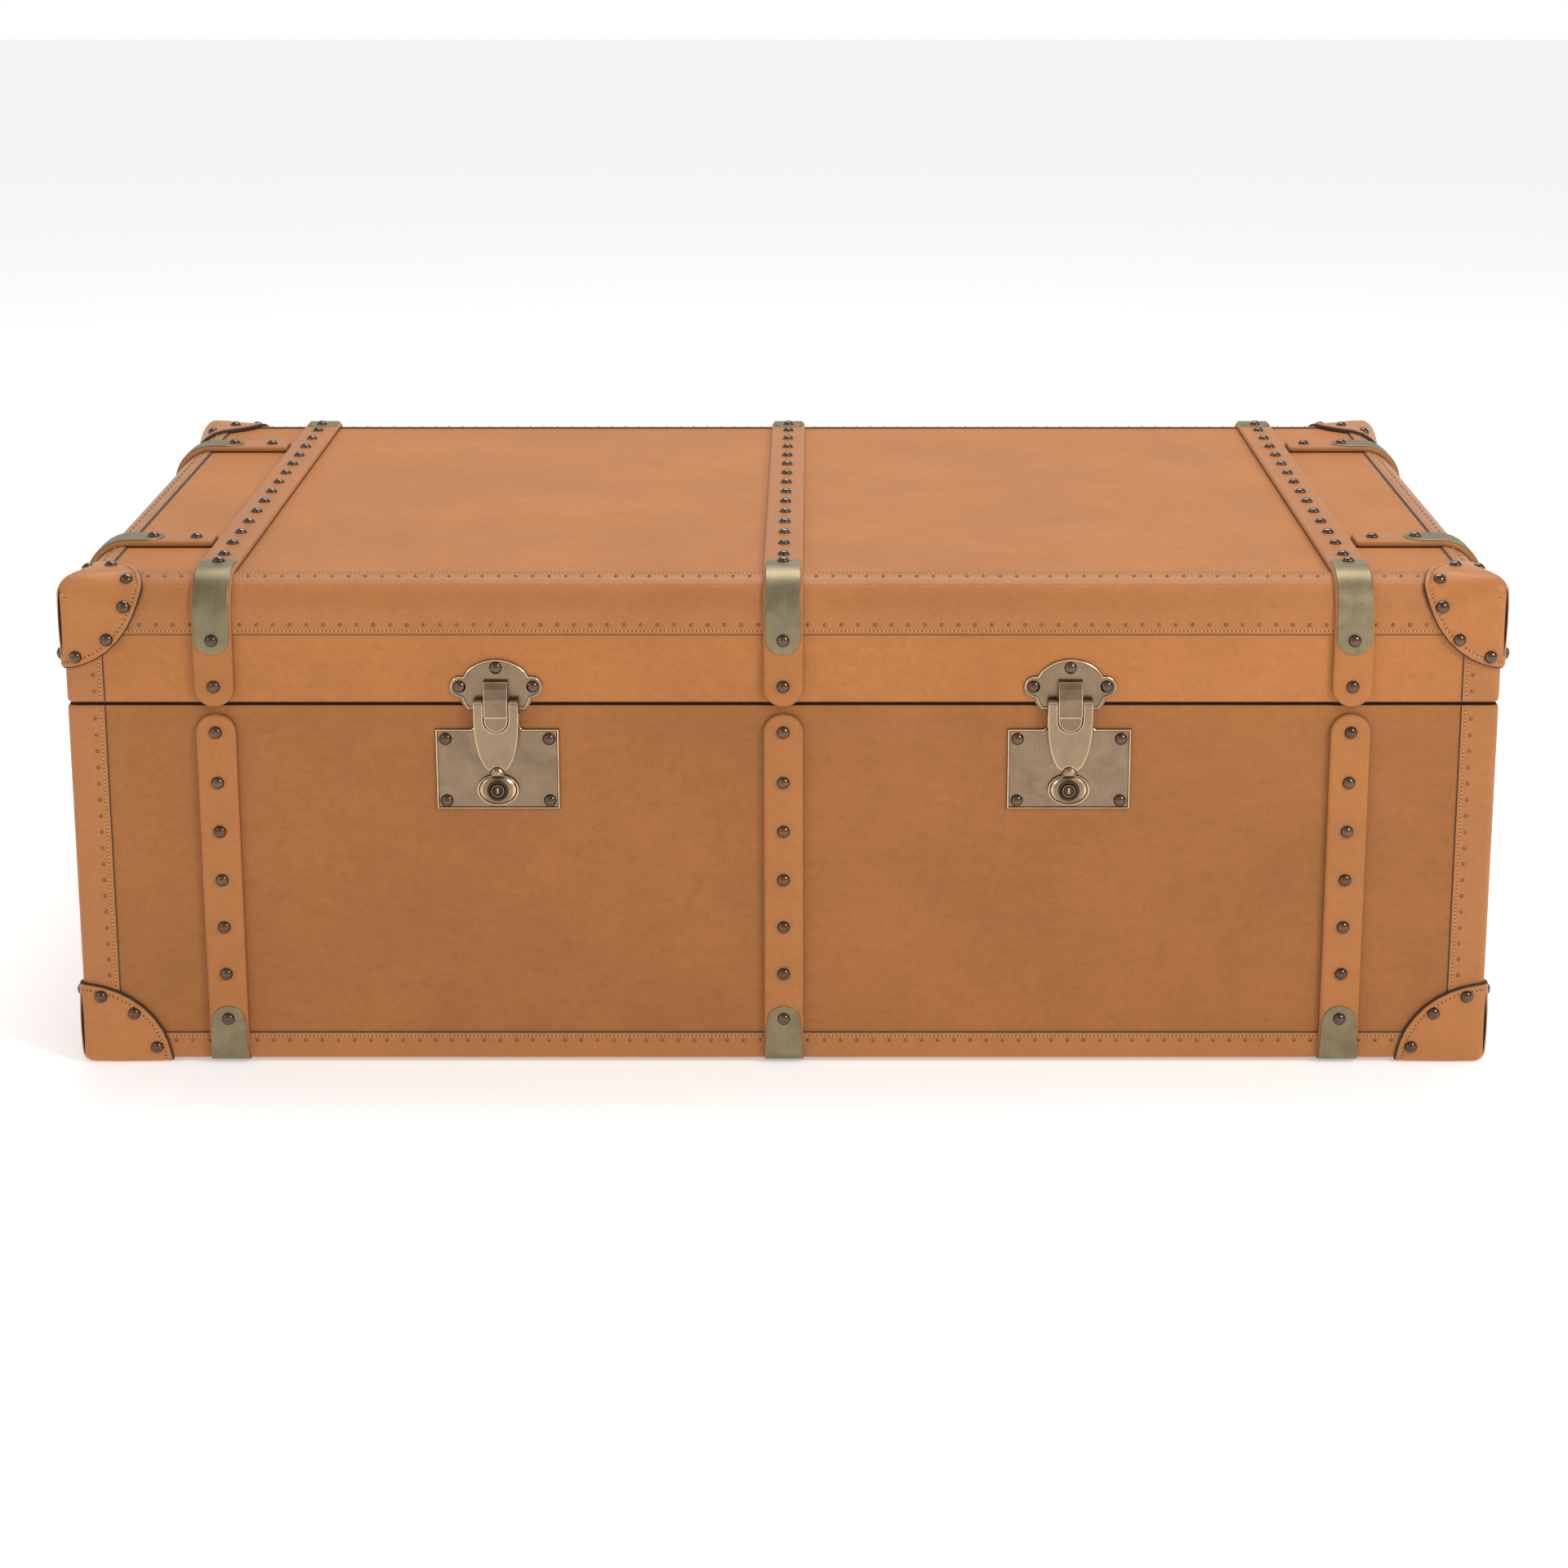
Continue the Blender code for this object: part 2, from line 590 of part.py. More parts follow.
def strike_plate(name, centre, brass):
    plate = prism(name, strike_outline(), FIT, PLATE_OUT, on_front(centre), brass)
    axis = (HASP_AXIS_OUT, HASP_AXIS)
    face = HASP_FACE + KEEPER_PROUD
    inner = face - TONGUE_RECESS - TONGUE
    hump = [
        (PLATE_OUT / 2, KEEPER_TOP),
        (PLATE_OUT + KEEPER_STEP[0], KEEPER_TOP - KEEPER_STEP[1]),
        (face - PLATE, KEEPER_TOP - KEEPER_SHOULDER),
        (face, HASP_AXIS + HASP_BARREL),
        (face, KEEPER_END + PLATE / 2),
        (face - TONGUE_RECESS / 2, KEEPER_END),
        (inner, KEEPER_END),
        *reversed(arc(axis, HASP_BARREL, 180, 315, ROUND_STEPS)),
        (PLATE_OUT / 2, HASP_AXIS),
    ]
    half = KEEPER_WIDTH / 2
    keeper = prism(f"{name}_keeper", hump, -half, half, on_profile(centre))
    radius = half - FIT
    bottom = HASP_SLOT_END + HASP_SLOT_CLEARANCE + radius
    top = KEEPER_END + PLATE
    outline = [(radius, top), *arc((0, bottom), radius, 0, -180, END_STEPS), (-radius, top)]
    tongue = prism(f"{name}_tongue", outline, inner, inner + TONGUE, on_front(centre))
    join(plate, keeper, tongue)
    cut(plate, pin_bore(name, centre))
    return plate


def pin_bore(name, centre):
    place = (-HALF_Y - HASP_AXIS_OUT, LID_RIM + HASP_AXIS)
    reach = HASP_HALF_WIDTH + HASP
    ends = (centre - reach, centre + reach)
    return cylinder(f"{name}_bore", place, HASP_PIN + FIT, *ends, "X", PIN_SIDES)


def hasp_outline():
    """Straight ears, then a blade whose half width falls away to the tip."""
    right = [(HASP_HALF_WIDTH, HASP_AXIS + 2 * HASP_BARREL)]
    for step in range(END_STEPS + 1):
        share = step / END_STEPS
        half = HASP_HALF_WIDTH * math.sqrt(1 - (share * HASP_CURVE_END) ** HASP_CURVE)
        right.append((half, HASP_BEND + (HASP_TIP - HASP_BEND) * share))
    return right + [(-a, b) for a, b in reversed(right)]


def hasp(name, centre, brass):
    axis = (HASP_AXIS_OUT, HASP_AXIS)
    back = HASP_FACE - HASP
    profile = [
        *arc(axis, HASP_BARREL, 0, 270, 2 * BEND_STEPS),
        (back, HASP_AXIS - HASP_BARREL - HASP / 2),
        (back, HASP_BEND),
        (back - HASP_LEAN, HASP_TIP),
        (HASP_FACE - HASP_LEAN, HASP_TIP),
        (HASP_FACE, HASP_BEND),
    ]
    half = HASP_HALF_WIDTH
    made = prism(name, profile, -half, half, on_profile(centre), brass)
    keep(made, prism(f"{name}_outline", hasp_outline(), 0, 3 * HASP_FACE, on_front(centre)))
    slot_half = KEEPER_WIDTH / 2 + HASP_SLOT_CLEARANCE
    top = HASP_AXIS + 3 * HASP_BARREL
    slot_arc = arc((0, HASP_SLOT_END + slot_half), slot_half, 0, -180, 2 * BEND_STEPS)
    slot = [(slot_half, top), *slot_arc, (-slot_half, top)]
    cut(made, prism(f"{name}_slot", slot, 0, 3 * HASP_FACE, on_front(centre)))
    cut(made, pin_bore(name, centre))
    place = (centre, -HALF_Y - HASP_FACE + HASP_LEAN, LID_RIM + HASP_TIP)
    join(made, dome(f"{name}_lift", place, (LIFT, LIFT_PROUD, LIFT)))
    return made


def dome(name, centre, reach):
    """The upper half of an egg shape."""
    shape = bmesh.new()
    bmesh.ops.create_uvsphere(shape, u_segments=DOME[0], v_segments=DOME[1], radius=1)
    parts = shape.verts[:] + shape.edges[:] + shape.faces[:]
    level = bmesh.ops.bisect_plane(shape, geom=parts, plane_no=(0, 0, -1), clear_outer=True)
    rim = [item for item in level["geom_cut"] if isinstance(item, bmesh.types.BMEdge)]
    bmesh.ops.contextual_create(shape, geom=rim)
    placed = Matrix.LocRotScale(Vector(centre), None, Vector(reach))
    bmesh.ops.transform(shape, matrix=placed, verts=shape.verts)
    return add_object(name, shape)


def lock_outline():
    """The plate with its neck, which runs up behind the hasp between two hollow fillets."""
    half, corner = LOCK_WIDTH / 2, PLATE / 2
    bottom = LOCK_TOP - LOCK_HEIGHT
    fillet = (NECK_HALF_WIDTH + NECK_FILLET, LOCK_TOP + NECK_FILLET)
    right = [
        *arc((half - corner, bottom + corner), corner, -90, 0, 2),
        *arc((half - corner, LOCK_TOP - corner), corner, 0, 90, 2),
        *arc(fillet, NECK_FILLET, 270, 180, BEND_STEPS),
        (NECK_HALF_WIDTH, NECK_TOP),
    ]
    return right + [(-a, b) for a, b in reversed(right)]


def lock_plate(name, centre, brass):
    plate = prism(name, lock_outline(), FIT, PLATE_OUT, on_front(centre), brass)
    middle = LOCK_TOP - OVAL_BELOW_LOCK_TOP
    ring = arc((0, 0), 1, 0, 360 - 360 / LOCK_SIDES, LOCK_SIDES - 1)
    oval = [(a * OVAL_HALF[0], middle + b * OVAL_HALF[1]) for a, b in ring]
    join(plate, prism(f"{name}_oval", oval, FIT + PLATE / 2, PLATE_OUT + OVAL, on_front(centre)))
    place = (centre, LID_RIM + middle)
    face = -HALF_Y - PLATE_OUT - OVAL
    mouth = face - CYLINDER_HEIGHT
    ends = (mouth, face + OVAL / 2)
    join(plate, cylinder(f"{name}_cylinder", place, CYLINDER, *ends, "Y", LOCK_SIDES))
    bore = (mouth - PLATE, mouth + PLUG_DEPTH + FIT)
    cut(plate, cylinder(f"{name}_bore", place, PLUG + FIT, *bore, "Y"))
    return place, mouth


def key_plug(name, place, mouth, brass):
    plug = cylinder(name, place, PLUG, mouth, mouth + PLUG_DEPTH, "Y", BAR_SIDES, brass)
    wide, tall, deep = KEY_SLOT
    low = (place[0] - wide / 2, mouth - deep, place[1] - tall / 2)
    cut(plug, box(f"{name}_slot", low, (place[0] + wide / 2, mouth + deep, place[1] + tall / 2)))
    return plug


# End handles -----------------------------------------------------------------------------------
def tube(name, points, radius, surface):
    """A round bar with closed ends along a list of points."""
    path = bpy.data.curves.new(name, "CURVE")
    path.dimensions = "3D"
    path.bevel_depth = radius
    path.bevel_resolution = 3
    path.use_fill_caps = True
    line = path.splines.new("POLY")
    line.points.add(len(points) - 1)
    for point, (x, y, z) in zip(line.points, points):
        point.co = (x, y, z, 1)
    made = bpy.data.objects.new(name, path)
    bpy.context.scene.collection.objects.link(made)
    path.materials.append(surface)
    return made


def end_handle(side, brass, leather):
    """The plate with its two lugs, and the bail and grip that swing in them."""
    name = SIDE_NAMES[side]
    face = side * HALF_X

    def block(title, out, y, z, surface=None):
        x = sorted((face + side * out[0], face + side * out[1]))
        return box(title, (x[0], y[0], z[0]), (x[1], y[1], z[1]), surface)

    long, tall = HANDLE_PLATE[0] / 2, HANDLE_PLATE[1] / 2
    level = (HANDLE_HEIGHT - tall, HANDLE_HEIGHT + tall)
    plate = block(f"handle_plate_{name}", (FIT, PLATE_OUT), (-long, long), level, brass)
    axis_x = face + side * HANDLE_AXIS_OUT
    lug_out = (PLATE_OUT / 2, HANDLE_AXIS_OUT + HANDLE_ROD + LUG_PAST_ROD)
    near = HANDLE_SPAN / 2 + HANDLE_TURN + FIT
    far = near + LUG[0]
    for end in (-1, 1):
        across = sorted((end * near, end * far))
        heights = (HANDLE_HEIGHT - LUG[1] / 2, HANDLE_HEIGHT + LUG[1] / 2)
        join(plate, block(f"{plate.name}_lug_{END_NAMES[end]}", lug_out, across, heights))
    bore = (axis_x, HANDLE_HEIGHT)
    radius = HANDLE_ROD + FIT
    cut(plate, cylinder(f"{plate.name}_bore", bore, radius, -2 * long, 2 * long, "Y", PIN_SIDES))

    half, bend = HANDLE_SPAN / 2, HANDLE_BEND
    low = HANDLE_HEIGHT - HANDLE_DROP
    side_view = [(-far, HANDLE_HEIGHT)]
    turn = (-half - HANDLE_TURN, HANDLE_HEIGHT - HANDLE_TURN)
    side_view += arc(turn, HANDLE_TURN, 90, 0, BEND_STEPS)
    side_view += arc((-half + bend, low + bend), bend, 180, 270, BEND_STEPS)
    points = side_view + [(-y, z) for y, z in reversed(side_view)]
    bail = tube(f"handle_bail_{name}", [(axis_x, y, z) for y, z in points], HANDLE_ROD, brass)
    grip_half = HANDLE_GRIP_LENGTH / 2
    ends = (-grip_half, grip_half)
    title = f"handle_grip_{name}"
    grip = cylinder(title, (axis_x, low), HANDLE_GRIP, *ends, "Y", BAR_SIDES, leather)
    cut(grip, cylinder(f"{title}_bore", (axis_x, low), radius, -half, half, "Y", BAR_SIDES))
    return (bail, grip), (axis_x, 0, HANDLE_HEIGHT)


# Assembly --------------------------------------------------------------------------------------
def pivot(name, place):
    made = bpy.data.objects.new(name, None)
    made.empty_display_size = STRAP_WIDTH
    made.location = place
    bpy.context.scene.collection.objects.link(made)
    return made


def hang(pieces, carrier):
    """Makes the pieces move with an empty, without moving them now."""
    bpy.context.view_layer.update()
    for piece in pieces:
        piece.parent = carrier
        piece.matrix_parent_inverse = carrier.matrix_world.inverted()


def main():
    for obj in list(bpy.data.objects):
        bpy.data.objects.remove(obj)
    wood = material("leather_covered_board", (0.45, 0.20, 0.075), 0.55)
    leather = material("leather", (0.48, 0.21, 0.08), 0.5)
    brass = material("antique_brass", (0.50, 0.38, 0.20), 0.35, 1.0)
    steel = material("steel", (0.45, 0.45, 0.45), 0.35, 1.0)

    base_boards(wood)
    on_lid = lid_boards(wood)
    on_lid.append(bindings(leather))
    on_lid += caps(leather)
    on_lid += lid_straps(leather)
    base_straps(leather)
    on_lid.append(hinge(brass, steel))
    on_lid += stays(brass)

    lid_pivot = pivot("lid_pivot", (0, HINGE_Y, PARTING))
    for side in (-1, 1):
        name, centre = SIDE_NAMES[side], side * LATCH_SPACING
        on_lid.append(strike_plate(f"strike_plate_{name}", centre, brass))
        axis = (-HALF_Y - HASP_AXIS_OUT, LID_RIM + HASP_AXIS)
        ends = (centre - HASP_HALF_WIDTH, centre + HASP_HALF_WIDTH)
        on_lid.append(cylinder(f"hasp_pin_{name}", axis, HASP_PIN, *ends, "X", PIN_SIDES, steel))
        hasp_pivot = pivot(f"hasp_pivot_{name}", (centre, *axis))
        hang([hasp(f"hasp_{name}", centre, brass)], hasp_pivot)
        hang([hasp_pivot], lid_pivot)
        place, mouth = lock_plate(f"lock_plate_{name}", centre, brass)
        plug_pivot = pivot(f"plug_pivot_{name}", (place[0], mouth, place[1]))
        hang([key_plug(f"key_plug_{name}", place, mouth, brass)], plug_pivot)
        moving, place = end_handle(side, brass, leather)
        hang(moving, pivot(f"handle_pivot_{name}", place))
    hang(on_lid, lid_pivot)


main()
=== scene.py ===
"""Finish of the steamer trunk: leather skins, bindings, straps and caps, brass, nails, stitches, lining."""

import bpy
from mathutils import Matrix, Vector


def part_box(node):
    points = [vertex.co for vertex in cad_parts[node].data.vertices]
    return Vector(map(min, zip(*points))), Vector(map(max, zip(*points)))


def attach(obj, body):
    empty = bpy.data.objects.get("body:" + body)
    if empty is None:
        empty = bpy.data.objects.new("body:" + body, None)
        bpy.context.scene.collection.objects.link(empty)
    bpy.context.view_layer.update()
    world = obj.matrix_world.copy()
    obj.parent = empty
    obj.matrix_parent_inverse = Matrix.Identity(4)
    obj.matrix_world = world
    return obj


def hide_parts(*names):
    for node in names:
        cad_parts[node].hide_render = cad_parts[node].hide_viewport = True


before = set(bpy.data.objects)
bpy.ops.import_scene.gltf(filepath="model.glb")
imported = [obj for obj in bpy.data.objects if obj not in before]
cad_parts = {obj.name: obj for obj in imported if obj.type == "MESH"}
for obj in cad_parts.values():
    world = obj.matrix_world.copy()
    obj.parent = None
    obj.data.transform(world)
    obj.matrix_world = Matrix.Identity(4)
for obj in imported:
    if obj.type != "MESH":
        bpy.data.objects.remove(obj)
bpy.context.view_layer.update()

import math

import bmesh
import bpy
from bpy.props import FloatProperty, FloatVectorProperty, IntProperty, PointerProperty
from mathutils import Vector

bl_info = {
    "name": "Steamer trunk",
    "version": (1, 0, 0),
    "blender": (4, 5, 0),
    "location": "View3D > Sidebar > Trunk",
    "description": "Builds the finish of a strapped leather trunk round its construction model",
    "category": "Object",
}

# Taken from the construction model -------------------------------------------------------------
BASE_LOW, BASE_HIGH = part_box("base_front_board")
LID_LOW, LID_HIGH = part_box("lid_front_board")
HALF_X = BASE_HIGH.x
HALF_Y = -BASE_LOW.y
UNDERSIDE = BASE_LOW.z
BASE_RIM = BASE_HIGH.z
LID_RIM = LID_LOW.z
LID_TOP = LID_HIGH.z
WALL = BASE_HIGH.y - BASE_LOW.y
LID_ROUND = LID_HIGH.y - LID_LOW.y
ROUND_START = LID_TOP - LID_ROUND
FLOOR_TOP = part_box("base_bottom_board")[1].z
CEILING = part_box("lid_top_board")[0].z
BINDING_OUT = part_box("lid_edge_binding")[1].z - LID_TOP
CAP_LOW, CAP_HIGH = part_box("lid_front_left_cap")
CAP_OUT = CAP_HIGH.z - LID_TOP
LID_REACH = (CAP_HIGH.x - CAP_LOW.x, CAP_HIGH.y - CAP_LOW.y, CAP_HIGH.z - CAP_LOW.z)
FOOT_LOW, FOOT_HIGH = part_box("base_front_left_cap")
BASE_REACH = (FOOT_HIGH.x - FOOT_LOW.x, FOOT_HIGH.y - FOOT_LOW.y, FOOT_HIGH.z - FOOT_LOW.z)
STRAP_LOW, STRAP_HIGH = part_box("lid_strap_right")
STRAP_WIDTH = STRAP_HIGH.x - STRAP_LOW.x
STRAP_OUT = STRAP_HIGH.z - LID_TOP
STRAP_SPACING = (STRAP_LOW.x + STRAP_HIGH.x) / 2
SIDE_LOW, SIDE_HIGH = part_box("lid_side_strap_back_left")
SIDE_STRAP_Y = (SIDE_LOW.y + SIDE_HIGH.y) / 2
SIDE_STRAP_END = SIDE_HIGH.x  # inner end on the left half
STRAP_FOOT = STRAP_LOW.z  # a lid strap's front end
BASE_STRAP_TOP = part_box("base_front_strap_left")[1].z
BACK_STRAP_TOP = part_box("base_back_strap_left")[1].z
HINGE_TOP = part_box("hinge_lid_leaf")[1].z + 0.004  # where the lid straps end at the back
LATCH_X = (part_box("lock_plate_right")[0].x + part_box("lock_plate_right")[1].x) / 2
KEY_MOUTH = -HALF_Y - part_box("key_plug_right")[0].y  # out from the boards
REBATE_DEPTH = 0.004
REBATE_HEIGHT = 0.00135
BINDING_WIDTH = 0.032
BINDING_DROP = 0.047
FOOT_BINDING = 0.0246
PLATE_OUT = 0.0023
LEFT_RIGHT = {-1: "left", 1: "right"}
FRONT_BACK = {-1: "front", 1: "back"}
CORNERS = ((-1, -1), (1, -1), (1, 1), (-1, 1))
UP, FORWARD = Vector((0, 0, 1)), Vector((0, -1, 0))
ALONG_X, ALONG_Y = Vector((1, 0, 0)), Vector((0, 1, 0))
STRAPS = (("left", -STRAP_SPACING), ("middle", 0.0), ("right", STRAP_SPACING))

# Leatherwork -----------------------------------------------------------------------------------
CORNER_ROUND = 0.005  # vertical corners of the boards, over the skin
FOOT_ROUND = 0.004
SKIN = 0.0009
EDGE_ROLL = 0.0006
SEAM_LIP = 0.0008  # painted edge of a binding
TOP_LIP_AND_SHADOW = 0.0030  # the same on the lid's top, cut at a slant; made wide so the dark edge also stands in as painted shadow in the gap beside the top panel
STRAP_UNDER = 0.0014
LINING = 0.0009
BINDING_FACE = BINDING_OUT + 0.0003  # out from the boards
BINDING_BACK = SKIN - 0.0003


# Materials -------------------------------------------------------------------------------------
def new_material(name):
    made = bpy.data.materials.new(name)
    made.use_nodes = True
    tree = made.node_tree
    return made, tree, tree.nodes["Principled BSDF"]


def node(tree, kind, inputs=(), **settings):
    made = tree.nodes.new(kind)
    for key, value in settings.items():
        setattr(made, key, value)
    for key, value in dict(inputs).items():
        if isinstance(value, bpy.types.NodeSocket):
            tree.links.new(value, made.inputs[key])
        else:
            made.inputs[key].default_value = value
    return made


def object_place(tree, scale=(1, 1, 1)):
    place = node(tree, "ShaderNodeTexCoord").outputs["Object"]
    return node(tree, "ShaderNodeMapping", {"Vector": place, "Scale": scale}).outputs["Vector"]


def noise(tree, place, scale, detail, roughness=0.55, distortion=0.0):
    inputs = {"Vector": place, "Scale": scale, "Detail": detail, "Roughness": roughness}
    inputs["Distortion"] = distortion
    return node(tree, "ShaderNodeTexNoise", inputs).outputs["Fac"]


def ramp(tree, value, stops):
    made = node(tree, "ShaderNodeValToRGB", {"Fac": value})
    band = made.color_ramp
    while len(band.elements) < len(stops):
        band.elements.new(0.5)
    for element, (place, colour) in zip(band.elements, stops):
        element.position = place
        element.color = (*colour, 1) if isinstance(colour, (tuple, list)) else (colour, colour, colour, 1)
    return made.outputs["Color"]


def multiplied(tree, share, first, second):
    made = node(tree, "ShaderNodeMix", data_type="RGBA", blend_type="MULTIPLY")
    for key, value in ((0, share), (6, first), (7, second)):
        if isinstance(value, bpy.types.NodeSocket):
            tree.links.new(value, made.inputs[key])
        else:
            made.inputs[key].default_value = (*value, 1) if isinstance(value, (tuple, list)) else value
    return made.outputs[2]


def scaled(tree, value, factor, offset=0.0):
    inputs = {0: value, 1: factor, 2: offset}
    return node(tree, "ShaderNodeMath", inputs, operation="MULTIPLY_ADD").outputs[0]


def sum_of(tree, first, second):
    return node(tree, "ShaderNodeMath", {0: first, 1: second}, operation="ADD").outputs[0]


def relief(tree, shader, height, strength, distance):
    bump = node(tree, "ShaderNodeBump", {"Height": height, "Strength": strength, "Distance": distance})
    tree.links.new(bump.outputs["Normal"], shader.inputs["Normal"])


def toned(colour, factor):
    return tuple(min(1.0, channel * factor) for channel in colour)


def leather(name, colour, grain, streaks, rough, mottle, gloss):
    """Full-grain hide: cloudy dye, faint streaks along it, close marbling, fine pores, shallow creases."""
    made, tree, shader = new_material(name)
    place = object_place(tree)
    cloud = noise(tree, place, 7.0, 6.0, 0.6, 0.2)
    pale, deep = toned(colour, 1 + 0.09 * mottle), toned(colour, 1 - 0.10 * mottle)
    dye = ramp(tree, cloud, ((0.30, deep), (0.52, colour), (0.74, pale)))
    wisps = noise(tree, object_place(tree, streaks), 30.0, 7.0, 0.72, 0.4)
    wisp_tone = ramp(tree, wisps, ((0.30, 0.93), (0.52, 1.0), (0.75, 1.06)))
    dyed = multiplied(tree, 0.75 * mottle, dye, wisp_tone)
    marbling = noise(tree, place, 130.0, 6.0, 0.75, 0.9)
    marble_tone = ramp(tree, marbling, ((0.30, 0.90), (0.50, 1.0), (0.70, 1.07)))
    dyed = multiplied(tree, mottle, dyed, marble_tone)
    pores = noise(tree, place, 900.0, 3.0, 0.6)
    pore_tone = ramp(tree, pores, ((0.28, 0.84), (0.42, 1.0)))
    dyed = multiplied(tree, 0.7, dyed, pore_tone)
    tree.links.new(dyed, shader.inputs["Base Color"])
    worn = scaled(tree, cloud, 0.18, rough - 0.09)
    tree.links.new(sum_of(tree, worn, scaled(tree, pores, 0.08, -0.04)), shader.inputs["Roughness"])
    pebbles = node(tree, "ShaderNodeTexVoronoi", {"Vector": place, "Scale": 700.0}, feature="F1")
    creases = noise(tree, object_place(tree, (1, 1, 1.6)), 70.0, 4.0, 0.6, 0.8)
    height = sum_of(tree, scaled(tree, pebbles.outputs["Distance"], 0.5 * grain), scaled(tree, creases, 0.9))
    relief(tree, shader, sum_of(tree, height, scaled(tree, pores, 0.25)), 0.32, 0.0006)
    shader.inputs["Specular IOR Level"].default_value = gloss
    return made


def raw_edge(name, colour):
    """Painted and burnished cut edge of hide."""
    made, tree, shader = new_material(name)
    place = object_place(tree)
    fibres = noise(tree, place, 420.0, 4.0, 0.6)
    tone = ramp(tree, fibres, ((0.3, toned(colour, 0.6)), (0.7, toned(colour, 1.5))))
    tree.links.new(tone, shader.inputs["Base Color"])
    tree.links.new(scaled(tree, fibres, 0.3, 0.45), shader.inputs["Roughness"])
    relief(tree, shader, fibres, 0.4, 0.0004)
    return made


def metal(name, colour, dark, brushed, rough, grime):
    """Antiqued brass: brushed one way, with darker patina in clouds."""
    made, tree, shader = new_material(name)
    place = object_place(tree)
    strokes = noise(tree, object_place(tree, brushed), 900.0, 3.0, 0.7)
    patina = noise(tree, place, 38.0, 5.0, 0.65, 0.7)
    base = ramp(tree, patina, ((0.30, dark), (0.62, colour), (0.85, toned(colour, 1.12))))
    stroke_tone = ramp(tree, strokes, ((0.25, 0.82), (0.5, 1.0), (0.8, 1.08)))
    tree.links.new(multiplied(tree, grime, base, stroke_tone), shader.inputs["Base Color"])
    worn = sum_of(tree, scaled(tree, patina, 0.16, rough - 0.08), scaled(tree, strokes, 0.12, -0.06))
    tree.links.new(worn, shader.inputs["Roughness"])
    relief(tree, shader, strokes, 0.10, 0.0002)
    shader.inputs["Metallic"].default_value = 1.0
    return made


def lacquered(made):
    """Adds a thin clear coat over a metal."""
    shader = made.node_tree.nodes["Principled BSDF"]
    shader.inputs["Coat Weight"].default_value = 0.7
    shader.inputs["Coat Roughness"].default_value = 0.06
    return made


def cloth(name, colour):
    """Plain-woven lining cloth, pasted down."""
    made, tree, shader = new_material(name)
    place = object_place(tree)
    weaves = []
    for turn in ((1, 0, 0), (0, 1, 0), (0, 0, 1)):
        axis = node(tree, "ShaderNodeVectorMath", {0: place, 1: turn}, operation="DOT_PRODUCT")
        wave = scaled(tree, axis.outputs["Value"], 5200.0)
        weaves.append(node(tree, "ShaderNodeMath", {0: wave}, operation="SINE").outputs[0])
    woven = sum_of(tree, sum_of(tree, weaves[0], weaves[1]), weaves[2])
    slub = noise(tree, object_place(tree, (1, 1, 8)), 60.0, 4.0, 0.6)
    tone = ramp(tree, slub, ((0.3, toned(colour, 0.86)), (0.7, toned(colour, 1.1))))
    thread_tone = ramp(tree, scaled(tree, woven, 0.17, 0.5), ((0.1, 0.78), (0.9, 1.08)))
    tree.links.new(multiplied(tree, 0.8, tone, thread_tone), shader.inputs["Base Color"])
    tree.links.new(scaled(tree, slub, 0.1, 0.8), shader.inputs["Roughness"])
    relief(tree, shader, woven, 0.25, 0.0002)
    shader.inputs["Sheen Weight"].default_value = 0.25
    return made


def thread_material(name, colour):
    made, tree, shader = new_material(name)
    twist = noise(tree, object_place(tree), 1800.0, 2.0)
    tone = ramp(tree, twist, ((0.3, toned(colour, 0.7)), (0.7, toned(colour, 1.15))))
    tree.links.new(tone, shader.inputs["Base Color"])
    tree.links.new(scaled(tree, twist, 0.2, 0.5), shader.inputs["Roughness"])
    return made


def steel(name):
    made, tree, shader = new_material(name)
    wear = noise(tree, object_place(tree), 260.0, 3.0)
    tree.links.new(ramp(tree, wear, ((0.3, 0.20), (0.7, 0.34))), shader.inputs["Base Color"])
    tree.links.new(scaled(tree, wear, 0.2, 0.3), shader.inputs["Roughness"])
    shader.inputs["Metallic"].default_value = 1.0
    return made


def paper(name, colour):
    """Studio backdrop."""
    made, tree, shader = new_material(name)
    tooth = noise(tree, object_place(tree), 40.0, 3.0)
    tone = ramp(tree, tooth, ((0.3, toned(colour, 0.985)), (0.7, colour)))
    tree.links.new(tone, shader.inputs["Base Color"])
    shader.inputs["Roughness"].default_value = 0.9
    shader.inputs["Specular IOR Level"].default_value = 0.1
    shader.inputs["Emission Color"].default_value = (1.0, 1.0, 1.0, 1)
    shader.inputs["Emission Strength"].default_value = 0.36
    return made


# Share of the hide's colour, grain, streaks along X, Y and Z, roughness, mottling, gloss
LEATHERS = {
    "skin_leather": (1.0, 0.8, (1, 1, 3.5), 0.5, 1.0, 0.10),
    # the base's hide is darker than the lid's: painted shade, as the base takes less light from above
    "base_leather": (0.78, 0.8, (1, 1, 3.5), 0.46, 1.0, 0.12),
    "cap_leather": (1.02, 0.7, (1, 1, 1.5), 0.36, 0.8, 0.2),
    "strap_leather": (0.93, 1.2, (1.6, 1, 1), 0.42, 0.8, 0.15),
    "binding_leather": (0.93, 1.8, (1, 1, 1), 0.38, 0.8, 0.24),
    "grip_leather": (0.85, 1.0, (1, 1, 1), 0.38, 1.0, 0.2),
}
